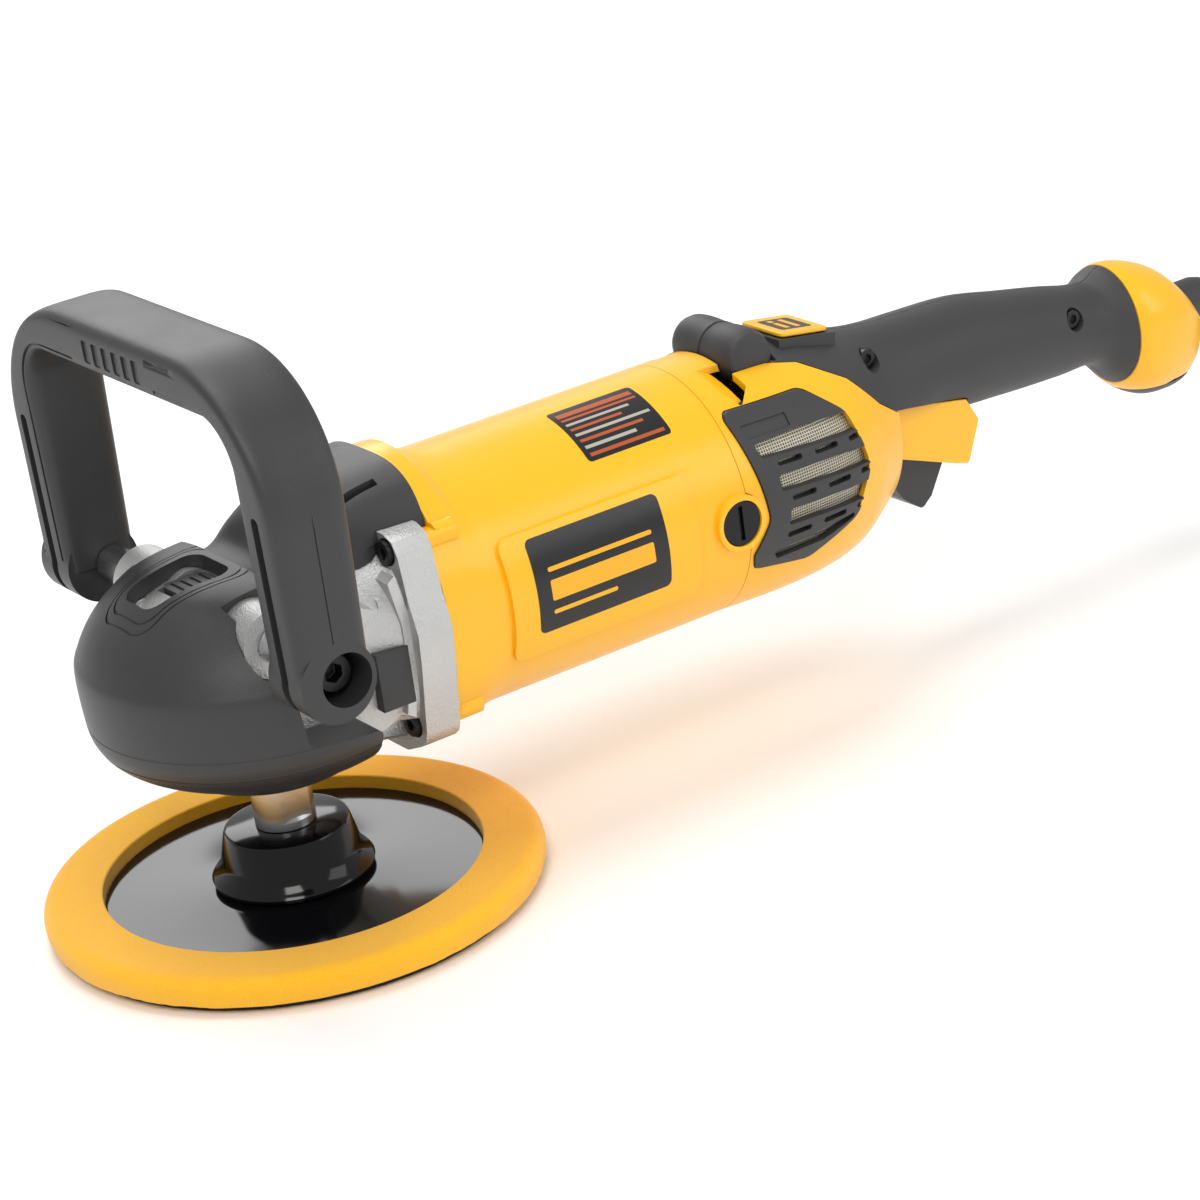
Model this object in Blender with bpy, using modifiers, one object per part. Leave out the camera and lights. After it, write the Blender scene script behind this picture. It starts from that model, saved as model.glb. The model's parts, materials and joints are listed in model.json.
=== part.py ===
"""Rotary polisher with a D-shaped bail handle, a hook-and-loop backing pad and a rear grip.

Frame: origin at the centre of the pad's working face, +Z up the spindle, +X from the head to the
grip's tail. Sizes are in millimetres times MM, so every value that reaches Blender is in metres.
"""

import math

import bmesh
import bpy
from mathutils import Matrix, Vector

MM = 0.001

# ---- driving dimensions ---------------------------------------------------------------------
GAP = 0.3 * MM  # left between neighbours that touch
RUN = 0.08 * MM  # radial clearance of a turning fit, on top of what its facets need

PAD_R = 89.0 * MM
PAD_ROUND = 36
FOAM_TOP = 13.0 * MM
FOAM_FLOOR = 6.3 * MM
FOAM_BASE = 1.5 * MM
HOOK_R = 84.0 * MM
PLATE_R = 67.0 * MM
PLATE_THICK = 2.0 * MM
HUB_TOP = 28.5 * MM
HUB_TOP_R = 23.3 * MM
HUB_BASE_R = 27.0 * MM
THREAD_R = 7.0 * MM

COLLAR_R = 10.8 * MM
COLLAR_TOP = 52.0 * MM
SPINDLE_R = 7.5 * MM
SPINDLE_TOP_R = 5.0 * MM
SPINDLE_TOP = 110.5 * MM
LOWER_BEARING = (58.0 * MM, 68.0 * MM, 16.0 * MM)  # from, to, outer radius
UPPER_BEARING = (103.5 * MM, 110.5 * MM, 9.0 * MM)

AXIS_Z = 95.3 * MM  # height of the motor's axis
BARREL_R = 47.4 * MM
BARREL_WALL = 2.5 * MM
BOOT_SKIN = 6.0 * MM
CAVITY_R = 28.5 * MM
FLANGE_FRONT = 36.0 * MM
FLANGE_REAR = 49.6 * MM
FLANGE_HALF = (50.0 * MM, 38.0 * MM, 44.0 * MM)  # half width, height above the axis, below it
SCREW_AT = (37.4 * MM, 31.8 * MM)
SCREW_R = 2.4 * MM
CASE_FRONT_TOP = 54.0 * MM
SADDLE_STEP = 130.0 * MM  # the field case's top edge under the saddle cover
CASE_STEP = 66.0 * MM
CASE_BARREL = 76.0 * MM
SEAM = 178.0 * MM

GEAR_TEETH = 27
PINION_TEETH = 9
GEAR_PITCH_R = 24.0 * MM
GEAR_FACE = 8.0 * MM
GEAR_BASE = 78.0 * MM
WEB_TOP = 84.0 * MM
SHAFT_R = 5.0 * MM
PINION_BORE_R = 3.4 * MM
FRONT_BEARING = (39.0 * MM, 48.0 * MM, 17.0 * MM)
REAR_BEARING = (192.0 * MM, 201.0 * MM, 13.0 * MM)
FAN_AT = (58.0 * MM, 70.0 * MM)
FAN_R = 38.0 * MM
CORE_AT = (84.0 * MM, 146.0 * MM)
CORE_R = 25.0 * MM
STATOR_BORE = 26.0 * MM
COMMUTATOR_AT = (160.0 * MM, 184.0 * MM)
COMMUTATOR_R = 15.0 * MM
BRUSH_X = 173.4 * MM
BRUSH_CAP_R = 8.2 * MM
BRUSH_RING_R = 10.4 * MM
BRUSH_FACE = 49.2 * MM  # the brush boss's outer end, from the middle plane

HANDLE_HALF = 92.0 * MM
HANDLE_INNER = 69.5 * MM
HANDLE_TOP = 217.3 * MM
HANDLE_LOOP_TOP = 199.0 * MM
HANDLE_CORNER = 52.0 * MM
HANDLE_INNER_CORNER = 12.0 * MM
HANDLE_BOLT = (-15.0 * MM, 113.5 * MM)
HANDLE_FOOT_R = 14.0 * MM
HANDLE_FRONT = -31.6 * MM  # front and rear of a leg at its bolt
HANDLE_REAR = -4.4 * MM
HANDLE_FLARE = 0.02  # how fast the bail deepens with height, at its front and at its rear
BOLT_R = 4.0 * MM
BOLT_HEAD_R = 6.5 * MM
BOLT_HEAD_OUT = 83.5 * MM
BOLT_HEAD_TALL = 8.0 * MM
BOLT_END = 34.0 * MM
ARM_R = 12.0 * MM
ARM_END = 46.0 * MM
NECK_R = 6.6 * MM

LOCK_X = -18.0 * MM
LOCK_PIN_X = -12.5 * MM
LOCK_PIN_R = 1.7 * MM
LOCK_TRAVEL = 3.5 * MM
LOCK_TOP = 121.0 * MM

GRIP_WALL = 3.2 * MM
TAIL_PLANE_TOP = (387.0 * MM, 124.7 * MM)
TAIL_PLANE_LOW = (399.4 * MM, 69.0 * MM)
TAIL_END = 427.0 * MM
CORD_Z = 95.0 * MM
CORD_R = 4.0 * MM
RELIEF_R = 8.4 * MM
RELIEF_END = 474.0 * MM

TRIGGER_PIVOT = (270.5 * MM, 91.5 * MM)
TRIGGER_HALF = 10.5 * MM
TRIGGER_TOP = 96.0 * MM
GUARD_CAVITY = 11.5 * MM
PIVOT_R = 2.0 * MM
PLUNGER_X = 288.0 * MM
SWITCH_FLOOR = 103.0 * MM
SWITCH_BOX = (272.0 * MM, 314.0 * MM, 8.5 * MM, 121.0 * MM)  # from, to, half width, top
SPRING_X = 277.0 * MM

WHEEL_AT = (207.0 * MM, 141.5 * MM)
WHEEL_R = 10.5 * MM
WHEEL_HALF = 19.0 * MM

COIL_CENTRE = (620.0 * MM, 48.0 * MM)
COIL_R = 44.0 * MM  # radius at the middle of its turns

ROUND = 24  # facets on a turned fit
SKIN = 40  # points round a lofted section

# ---- the scene -------------------------------------------------------------------------------
for old in list(bpy.data.objects):
    bpy.data.objects.remove(old)
PARTS = bpy.data.collections.new("rotary_polisher")
CUTTERS = bpy.data.collections.new("cutters")
for group in (PARTS, CUTTERS):
    bpy.context.scene.collection.children.link(group)


def material(name, colour, roughness, metallic=0.0):
    made = bpy.data.materials.new(name)
    made.use_nodes = True
    shader = made.node_tree.nodes["Principled BSDF"]
    shader.inputs["Base Color"].default_value = (*colour, 1.0)
    shader.inputs["Roughness"].default_value = roughness
    shader.inputs["Metallic"].default_value = metallic
    return made


YELLOW = material("yellow_nylon", (0.96, 0.52, 0.01), 0.35)
BLACK = material("black_nylon", (0.045, 0.047, 0.05), 0.5)
RUBBER = material("black_rubber", (0.06, 0.062, 0.065), 0.6)
GLOSS = material("gloss_black", (0.01, 0.01, 0.011), 0.12)
FOAM = material("yellow_foam", (0.93, 0.5, 0.03), 0.9)
HOOKS = material("hook_fabric", (0.1, 0.1, 0.1), 0.95)
CAST = material("cast_aluminium", (0.62, 0.62, 0.61), 0.45, 0.9)
STEEL = material("steel", (0.6, 0.6, 0.62), 0.28, 1.0)
DARK_STEEL = material("black_oxide_steel", (0.09, 0.09, 0.1), 0.4, 0.9)
COPPER = material("copper", (0.72, 0.4, 0.2), 0.35, 0.9)
BRASS = material("brass", (0.75, 0.58, 0.25), 0.35, 0.9)
CARBON = material("carbon", (0.03, 0.03, 0.03), 0.7)
MESH = material("intake_mesh", (0.55, 0.52, 0.45), 0.5, 0.4)
LAMINATE = material("laminated_steel", (0.4, 0.4, 0.42), 0.45, 0.8)
PVC = material("cord_pvc", (0.03, 0.03, 0.03), 0.5)


# ---- modelling helpers -----------------------------------------------------------------------
def finish(name, mesh, look, smooth=True):
    """An object of this mesh: a named piece if it has a material, and otherwise a hidden cutter."""
    thing = bpy.data.objects.new(name, mesh)
    if look is None:
        CUTTERS.objects.link(thing)
        thing.hide_render = True
        thing.display_type = "WIRE"
    else:
        PARTS.objects.link(thing)
        mesh.materials.append(look)
        if smooth:
            mesh.shade_smooth()
            mesh.set_sharp_from_angle(angle=math.radians(35))
    return thing


def from_bmesh(name, shape, look, smooth=True):
    bmesh.ops.recalc_face_normals(shape, faces=shape.faces)
    mesh = bpy.data.meshes.new(name)
    shape.to_mesh(mesh)
    shape.free()
    return finish(name, mesh, look, smooth)


def box(name, low, high, look=None):
    shape = bmesh.new()
    bmesh.ops.create_cube(shape, size=1.0)
    low, high = Vector(low), Vector(high)
    for corner in shape.verts:
        corner.co = Vector(low[i] + (high[i] - low[i]) * (corner.co[i] + 0.5) for i in range(3))
    return from_bmesh(name, shape, look, smooth=False)


def towards(axis):
    """The rotation that takes +Z to this axis, with the facets of every round piece in step."""
    turns = {
        "z": Matrix.Identity(4),
        "x": Matrix.Rotation(math.radians(90), 4, "Y"),
        "y": Matrix.Rotation(math.radians(-90), 4, "X"),
    }
    return turns[axis]


def rod(name, start, length, radius, axis, look=None, sides=24, end_radius=None):
    """A cylinder or cone from start, along +axis."""
    shape = bmesh.new()
    place = Matrix.Translation(Vector(start)) @ towards(axis) @ Matrix.Translation((0, 0, length / 2))
    bmesh.ops.create_cone(
        shape,
        cap_ends=True,
        segments=sides,
        radius1=radius,
        radius2=radius if end_radius is None else end_radius,
        depth=length,
        matrix=place,
    )
    return from_bmesh(name, shape, look)


def turned(name, profile, look=None, axis="z", at=(0, 0, 0), steps=ROUND, closed=False):
    """A turned solid from (radius, height) points that run down the outer side, top to bottom."""
    mesh = bpy.data.meshes.new(name)
    points = [(r, 0.0, h) for r, h in profile]
    edges = [(i, i + 1) for i in range(len(points) - 1)]
    if closed:
        edges.append((len(points) - 1, 0))
    mesh.from_pydata(points, edges, [])
    thing = finish(name, mesh, look, smooth=False)
    thing.matrix_world = Matrix.Translation(at) @ towards(axis)
    screw = thing.modifiers.new("turn", "SCREW")
    screw.axis = "Z"
    screw.steps = steps
    screw.render_steps = steps
    screw.use_merge_vertices = True
    screw.merge_threshold = 0.00001
    screw.use_smooth_shade = True
    return thing


def ring(name, inner, outer, low, high, look=None, axis="z", at=(0, 0, 0), steps=ROUND):
    profile = [(inner, high), (outer, high), (outer, low), (inner, low)]
    return turned(name, profile, look, axis, at, steps, closed=True)


def prism(name, outline, axis, low, high, look=None, smooth=True):
    """An outline pushed from low to high along an axis. x takes (y, z) points and y takes (x, z)."""
    shape = bmesh.new()
    lay = {
        "x": lambda p: (low, p[0], p[1]),
        "y": lambda p: (p[0], low, p[1]),
        "z": lambda p: (p[0], p[1], low),
    }
    face = shape.faces.new([shape.verts.new(lay[axis](p)) for p in outline])
    pushed = bmesh.ops.extrude_face_region(shape, geom=[face])
    step = Vector([high - low if letter == axis else 0.0 for letter in "xyz"])
    moved = [e for e in pushed["geom"] if isinstance(e, bmesh.types.BMVert)]
    bmesh.ops.translate(shape, verts=moved, vec=step)
    return from_bmesh(name, shape, look, smooth)


def arc(centre, radius, start, stop, steps=6):
    """Points on an arc, in degrees."""
    found = []
    for i in range(steps + 1):
        angle = math.radians(start + (stop - start) * i / steps)
        found.append((centre[0] + radius * math.cos(angle), centre[1] + radius * math.sin(angle)))
    return found


def rounded(corners, radius, steps=4):
    """A closed outline with every corner rounded to one radius, or to a radius of its own."""
    found = []
    count = len(corners)
    radii = radius if isinstance(radius, (list, tuple)) else [radius] * count
    for i in range(count):
        here = Vector(corners[i])
        before = (Vector(corners[i - 1]) - here).normalized()
        after = (Vector(corners[(i + 1) % count]) - here).normalized()
        half = before.angle(after) / 2
        back = radii[i] / math.tan(half)
        middle = here + (before + after).normalized() * radii[i] / math.sin(half)
        first = here + before * back - middle
        last = here + after * back - middle
        for k in range(steps + 1):
            turn = first.lerp(last, k / steps).normalized() * radii[i]
            found.append(tuple(middle + turn))
    return found


def egg(x, middle, half_width, above, below, power_above=2.0, power_below=2.0, points=SKIN):
    """A closed section across X: two half superellipses that share one width."""
    found = []
    for i in range(points):
        angle = 2 * math.pi * i / points
        c, s = math.cos(angle), math.sin(angle)
        power, height = (power_above, above) if s >= 0 else (power_below, below)
        y = half_width * math.copysign(abs(c) ** (2 / power), c)
        z = height * math.copysign(abs(s) ** (2 / power), s)
        found.append(Vector((x, y, middle + z)))
    return found


def skin(name, sections, look=None):
    """A solid lofted through sections of one point count, with flat ends."""
    shape = bmesh.new()
    loops = [[shape.verts.new(p) for p in section] for section in sections]
    count = len(loops[0])
    for a, b in zip(loops, loops[1:]):
        for i in range(count):
            j = (i + 1) % count
            shape.faces.new((a[i], a[j], b[j], b[i]))
    shape.faces.new(loops[0][::-1])
    shape.faces.new(loops[-1])
    return from_bmesh(name, shape, look)


def boolean(thing, other, kind):
    step = thing.modifiers.new(kind.lower() + "_" + other.name, "BOOLEAN")
    step.operation = kind
    step.solver = "EXACT"
    step.object = other


def cut(thing, *others):
    for other in others:
        boolean(thing, other, "DIFFERENCE")


def join(thing, *others):
    for other in others:
        boolean(thing, other, "UNION")


def keep(thing, *others):
    for other in others:
        boolean(thing, other, "INTERSECT")


def pivot(name, at):
    """An empty on a joint's axis, for the pieces that move about it."""
    empty = bpy.data.objects.new(name, None)
    empty.location = at
    PARTS.objects.link(empty)
    return empty


def hang(empty, *pieces):
    bpy.context.view_layer.update()
    for piece in pieces:
        piece.parent = empty
        piece.matrix_parent_inverse = empty.matrix_world.inverted()


def bore_for(radius, sides=ROUND):
    """The bore, in facets, that clears a turning shaft of this radius by RUN."""
    return (radius + RUN) / math.cos(math.pi / sides)


# ---- the pad and what drives it --------------------------------------------------------------
def build_pad():
    hook = rod("hook_face", (0, 0, 0), FOAM_BASE - GAP, HOOK_R, "z", HOOKS, PAD_ROUND)
    recess = PLATE_R + GAP
    foam_outline = [
        (0, FOAM_FLOOR),
        (recess, FOAM_FLOOR),
        (recess, FOAM_TOP),
        (PAD_R - 5 * MM, FOAM_TOP),
        (PAD_R - 1.4 * MM, FOAM_TOP - 1.6 * MM),
        (PAD_R, FOAM_TOP - 5 * MM),
        (PAD_R - 1 * MM, FOAM_BASE + 1.5 * MM),
        (PAD_R - 4 * MM, FOAM_BASE),
        (0, FOAM_BASE),
    ]
    foam = turned("foam_pad", foam_outline, FOAM, steps=PAD_ROUND)
    plate_low = FOAM_FLOOR + GAP
    plate = rod("backing_plate", (0, 0, plate_low), PLATE_THICK, PLATE_R, "z", GLOSS, PAD_ROUND)
    base = plate_low + PLATE_THICK + GAP
    bore = THREAD_R + GAP
    hub_outline = [
        (bore, HUB_TOP),
        (HUB_TOP_R - 1 * MM, HUB_TOP),
        (HUB_TOP_R, HUB_TOP - 1 * MM),
        (HUB_TOP_R + 1.2 * MM, base + 6 * MM),
        (HUB_BASE_R, base + 1.6 * MM),
        (HUB_BASE_R + 2 * MM, base),
        (bore, base),
    ]
    hub = turned("backing_hub", hub_outline, GLOSS, closed=True)
    return [hook, foam, plate, hub]


def build_spindle():
    base = HUB_TOP + GAP
    collar = ring("spindle_collar", THREAD_R + GAP, COLLAR_R, base, COLLAR_TOP, STEEL)
    for side in (-1, 1):
        low = side * (COLLAR_R - 1.6 * MM)
        far = side * (COLLAR_R + 3 * MM)
        flat = box(
            "collar_flat", (-20 * MM, min(low, far), base + 3 * MM), (20 * MM, max(low, far), 60 * MM)
        )
        cut(collar, flat)
    step = COLLAR_TOP + GAP
    outline = [
        (0, SPINDLE_TOP),
        (SPINDLE_TOP_R, SPINDLE_TOP),
        (SPINDLE_TOP_R, GEAR_BASE + GEAR_FACE + 1 * MM),
        (SPINDLE_R, GEAR_BASE + GEAR_FACE + 1 * MM),
        (SPINDLE_R, step),
        (THREAD_R, step),
        (THREAD_R, FOAM_FLOOR + PLATE_THICK + 3 * MM),
        (0, FOAM_FLOOR + PLATE_THICK + 3 * MM),
    ]
    spindle = turned("spindle", outline, STEEL)
    return [collar, spindle]


def bearing(name, span, inner, axis, at=(0, 0, 0)):
    low, high, outer = span
    return ring(name, inner, outer - GAP, low, high, STEEL, axis, at)


def toothed_cone(name, near, far, root, tip, count, look):
    """A bevel pinion about the motor's axis: every radius grows with its distance from the spindle."""
    shape = bmesh.new()
    loops = []
    for x in (near, far):
        loop = []
        for i in range(count):
            for part, grow in ((-0.3, root), (-0.19, tip), (0.19, tip), (0.3, root)):
                angle = 2 * math.pi * (i + 0.5 + part) / count
                y, z = x * grow * math.sin(angle), AXIS_Z - x * grow * math.cos(angle)
                loop.append(shape.verts.new((x, y, z)))
        loops.append(loop)
    total = len(loops[0])
    for i in range(total):
        j = (i + 1) % total
        shape.faces.new((loops[0][i], loops[0][j], loops[1][j], loops[1][i]))
    shape.faces.new(loops[0][::-1])
    shape.faces.new(loops[1])
    return from_bmesh(name, shape, look, smooth=False)


def build_gears():
    """A bevel pair whose cones meet where the axes cross, with a wide backlash."""
    slope = PINION_TEETH / GEAR_TEETH
    rim = GEAR_PITCH_R + 2 * MM
    inner = GEAR_PITCH_R - GEAR_FACE
    bore = SPINDLE_R + GAP

    def height(radius, share):
        return AXIS_Z - radius * slope * share

    body = [
        (bore, height(inner - 2 * MM, 1.6)),
        (inner - 2 * MM, height(inner - 2 * MM, 1.6)),
        (rim, height(rim, 1.34)),
        (rim, GEAR_BASE),
        (bore, GEAR_BASE),
    ]
    gear = turned("bevel_gear", body, STEEL, closed=True)
    crown = [
        (inner - 1.5 * MM, height(inner - 1.5 * MM, 0.93)),
        (rim - 0.8 * MM, height(rim - 0.8 * MM, 0.93)),
        (rim - 0.8 * MM, height(rim, 1.5)),
        (inner - 1.5 * MM, height(inner, 1.7)),
    ]
    teeth = turned("gear_teeth", crown, closed=True, steps=GEAR_TEETH)
    pitch = 2 * math.pi / GEAR_TEETH
    for i in range(GEAR_TEETH):
        shape = bmesh.new()
        corners = []
        for share, wide in ((1.3, 0.34), (0.7, 0.46)):
            for radius in (inner - 3 * MM, rim + 1 * MM):
                for side in (-1, 1):
                    a = pitch * (i + 0.5 + side * wide)
                    at = (radius * math.cos(a), radius * math.sin(a), height(radius, share))
                    corners.append(shape.verts.new(at))
        for quad in ((0, 1, 3, 2), (4, 5, 7, 6), (0, 1, 5, 4), (2, 3, 7, 6), (0, 2, 6, 4), (1, 3, 7, 5)):
            shape.faces.new([corners[k] for k in quad])
        cut(teeth, from_bmesh("tooth_space", shape, None, smooth=False))
    join(gear, teeth)
    pinion = toothed_cone(
        "bevel_pinion",
        inner + 1 * MM,
        GEAR_PITCH_R + 0.5 * MM,
        slope * 0.86,
        slope * 1.08,
        PINION_TEETH,
        STEEL,
    )
    cut(pinion, rod("pinion_bore", (0, 0, AXIS_Z), 60 * MM, PINION_BORE_R + GAP, "x"))
    return [gear], [pinion]


def build_motor():
    axis = (0, 0, AXIS_Z)
    outline = [
        (0, REAR_BEARING[1] + 6 * MM),
        (SHAFT_R, REAR_BEARING[1] + 6 * MM),
        (SHAFT_R, CORE_AT[1]),
        (CORE_R, CORE_AT[1]),
        (CORE_R, CORE_AT[0]),
        (SHAFT_R, CORE_AT[0]),
        (SHAFT_R, FRONT_BEARING[0] - 8 * MM),
        (PINION_BORE_R, FRONT_BEARING[0] - 8 * MM),
        (PINION_BORE_R, GEAR_PITCH_R - GEAR_FACE),
        (0, GEAR_PITCH_R - GEAR_FACE),
    ]
    armature = turned("armature", outline, LAMINATE, "x", axis)
    fan = ring("fan", SHAFT_R + GAP, 10 * MM, *FAN_AT, BLACK, "x", axis)
    web = (FAN_AT[0], FAN_AT[0] + 2 * MM)
    disc = ring("fan_disc", SHAFT_R + 2 * MM, FAN_R, *web, None, "x", axis)
    join(fan, disc)
    for i in range(9):
        blade = box("fan_blade", (FAN_AT[0] + 1 * MM, -1 * MM, 9 * MM), (FAN_AT[1], 1 * MM, FAN_R - 1 * MM))
        turn = Matrix.Rotation(2 * math.pi * i / 9, 4, "X")
        blade.data.transform(Matrix.Translation(axis) @ turn)
        join(fan, blade)
    commutator = ring(
        "commutator", SHAFT_R + GAP, COMMUTATOR_R, *COMMUTATOR_AT, COPPER, "x", axis
    )
    stator = ring("stator", STATOR_BORE, BARREL_R - BARREL_WALL - 1.2 * MM, *CORE_AT, LAMINATE, "x", axis)
    bore = bore_for(SHAFT_R)
    front = bearing("armature_bearing_front", FRONT_BEARING, bore, "x", axis)
    rear = bearing("armature_bearing_rear", REAR_BEARING, bore, "x", axis)
    return [armature, fan, commutator], [stator, front, rear]


# ---- the cast gear case ----------------------------------------------------------------------
HEAD_OUTER = (
    (18 * MM, 129.5 * MM),
    (30 * MM, 128.2 * MM),
    (40 * MM, 125 * MM),
    (49 * MM, 118 * MM),
    (55.3 * MM, 111.3 * MM),
    (60 * MM, 103.5 * MM),
    (61.9 * MM, 97 * MM),
    (61.2 * MM, 79 * MM),
    (59.2 * MM, 72 * MM),
    (55.5 * MM, 67.2 * MM),
    (49 * MM, 62.6 * MM),
    (40 * MM, 58 * MM),
    (31 * MM, 53 * MM),
    (23 * MM, 49.5 * MM),
    (14 * MM, 48 * MM),
)
CASE_HALF = 41.0 * MM  # half width of the case beside the handle's arms


def head_profile(shrink):
    """The head's outline moved inwards, closed at the axis."""
    middle = (0.0, 86 * MM)
    found = [(0.0, HEAD_OUTER[0][1] - shrink)]
    for r, z in HEAD_OUTER:
        away = Vector((r - middle[0], z - middle[1]))
        away = away - away.normalized() * shrink
        found.append((away.x, middle[1] + away.y))
    found.append((0.0, found[-1][1]))
    return found


def case_outside(name, grow, look=None):
    """The case's outside, grown by a gap where it serves as a neighbour's cutter."""
    head = turned(name, head_profile(BOOT_SKIN - grow), look, steps=32)
    keep(head, box(name + "_sides", (-90 * MM, -CASE_HALF - grow, 0), (70 * MM, CASE_HALF + grow, 160 * MM)))
    sections = []
    for x, half, above, below in ((-4, 39, 29, 38), (14, 40, 30, 39), (28, 43, 33, 41), (37, 45.5, 36, 42)):
        size = [side * MM + grow for side in (half, above, below)]
        sections.append(egg(x * MM, AXIS_Z, *size, 3.0, 3.4, 24))
    join(head, skin(name + "_neck", sections))
    half, above, below = FLANGE_HALF
    corners = [
        (half, AXIS_Z + 4 * MM),
        (half * 0.93, AXIS_Z + 16 * MM),
        (half * 0.86, AXIS_Z + above),
        (-half * 0.86, AXIS_Z + above),
        (-half * 0.93, AXIS_Z + 16 * MM),
        (-half, AXIS_Z + 4 * MM),
        (-half * 0.98, AXIS_Z - 8 * MM),
        (-half * 0.89, AXIS_Z - above),
        (-half * 0.6, AXIS_Z - below),
        (half * 0.6, AXIS_Z - below),
        (half * 0.89, AXIS_Z - above),
        (half * 0.98, AXIS_Z - 8 * MM),
    ]
    radii = [6, 8, 8, 8, 8, 6, 8, 8, 6, 6, 8, 8]
    outline = rounded(corners, [r * MM for r in radii], 2)
    stretch = (half + grow) / half
    outline = [(y * stretch, AXIS_Z + (z - AXIS_Z) * stretch) for y, z in outline]
    join(head, prism(name + "_flange", outline, "x", FLANGE_FRONT - grow, FLANGE_REAR + grow))
    x, z = HANDLE_BOLT
    arm = ARM_END + grow
    join(head, rod(name + "_arms", (x, -arm, z), 2 * arm, ARM_R + grow, "y", None, 24))
    return head


def case_screws():
    for side in (-1, 1):
        for up in (-1, 1):
            yield side * SCREW_AT[0], AXIS_Z + up * SCREW_AT[1]


def build_gear_case():
    case = case_outside("gear_case", 0.0, CAST)
    seat = LOWER_BEARING[0]
    cut(
        case,
        rod(
            "gear_room",
            (0, 0, LOWER_BEARING[1] + GAP),
            UPPER_BEARING[0] - LOWER_BEARING[1] - 2 * GAP,
            CAVITY_R,
            "z",
            None,
            ROUND,
        ),
    )
    cut(case, rod("lower_seat", (0, 0, seat - GAP), 12 * MM, LOWER_BEARING[2], "z", None, ROUND))
    cut(case, rod("retainer_seat", (0, 0, 20 * MM), seat - 20 * MM, 22 * MM, "z", None, ROUND))
    cut(
        case,
        rod(
            "upper_seat",
            (0, 0, 95 * MM),
            UPPER_BEARING[1] + GAP - 95 * MM,
            UPPER_BEARING[2],
            "z",
            None,
            ROUND,
        ),
    )
    cut(case, rod("shaft_bore", (5 * MM, 0, AXIS_Z), 60 * MM, FRONT_BEARING[2], "x", None, ROUND))
    x, z = HANDLE_BOLT
    for side in (-1, 1):
        start = BOLT_END - GAP if side > 0 else -70 * MM
        cut(case, rod("bolt_bore", (x, start, z), 70 * MM - BOLT_END + GAP, BOLT_R + GAP, "y", None, 16))
    for y, z in case_screws():
        cut(case, rod("screw_hole", (20 * MM, y, z), 60 * MM, SCREW_R + GAP, "x", None, 16))
        cut(case, rod("head_pocket", (18 * MM, y, z), FLANGE_FRONT + 3 * MM - 18 * MM, 5 * MM, "x", None, 20))
    cut(case, rod("pin_bore", (LOCK_PIN_X, 0, 96 * MM), 40 * MM, LOCK_PIN_R + 0.4 * MM, "z", None, 16))
    cut(case, box("lock_pocket", (LOCK_X - 10 * MM, -9 * MM, 113 * MM), (LOCK_X + 8 * MM, 9 * MM, 140 * MM)))
    lower = bearing("spindle_bearing_lower", LOWER_BEARING, bore_for(SPINDLE_R), "z")
    upper = bearing("spindle_bearing_upper", UPPER_BEARING, bore_for(SPINDLE_TOP_R), "z")
    retainer = ring("bearing_retainer", 12 * MM, 22 * MM - GAP, seat - 2.4 * MM, seat - GAP, STEEL)
    screws = []
    for i, (y, z) in enumerate(case_screws()):
        seat_x = FLANGE_FRONT + 3 * MM - GAP
        screw = rod(
            f"flange_screw_{i + 1}", (seat_x - 4.5 * MM, y, z), 4.5 * MM, 4.3 * MM, "x", DARK_STEEL, 20
        )
        join(
            screw,
            rod(
                "screw_shank",
                (seat_x - 1 * MM, y, z),
                FLANGE_REAR + 9 * MM - seat_x,
                SCREW_R,
                "x",
                None,
                16,
            ),
        )
        cut(screw, rod("screw_socket", (seat_x - 8 * MM, y, z), 6 * MM, 2.2 * MM, "x", None, 6))
        screws.append(screw)
    return [case, lower, upper, retainer, *screws]


def build_head_cover():
    cover = turned("head_cover", head_profile(0.0), BLACK, steps=32)
    cut(cover, case_outside("case_room", GAP))
    sides = rounded(
        [
            (-27 * MM, 140 * MM),
            (-24.6 * MM, 125 * MM),
            (-19 * MM, 107 * MM),
            (-15.5 * MM, 79 * MM),
            (12 * MM, 77 * MM),
            (12 * MM, 60 * MM),
            (3 * MM, 55 * MM),
            (-4 * MM, 30 * MM),
            (90 * MM, 30 * MM),
            (90 * MM, 140 * MM),
        ],
        3 * MM,
        3,
    )
    for side in (-1, 1):
        low, high = sorted((side * 30 * MM, side * 80 * MM))
        cut(cover, prism("cover_side", sides, "y", low, high))
    cut(cover, box("cover_rear", (-6 * MM, -31 * MM, 74 * MM), (90 * MM, 31 * MM, 150 * MM)))
    cut(cover, box("cover_rear_low", (14 * MM, -31 * MM, 30 * MM), (90 * MM, 31 * MM, 80 * MM)))
    x, z = HANDLE_BOLT
    cut(cover, rod("arm_room", (x, -80 * MM, z), 160 * MM, ARM_R + GAP, "y", None, 24))
    cut(cover, rod("cover_mouth", (0, 0, 20 * MM), 50 * MM, 13 * MM, "z", None, ROUND))
    window = rounded(
        [(-41 * MM, -10 * MM), (-9 * MM, -14 * MM), (-9 * MM, 14 * MM), (-41 * MM, 10 * MM)], 6 * MM
    )
    cut(cover, prism("cover_window", window, "z", 100 * MM, 150 * MM))
    return cover


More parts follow.
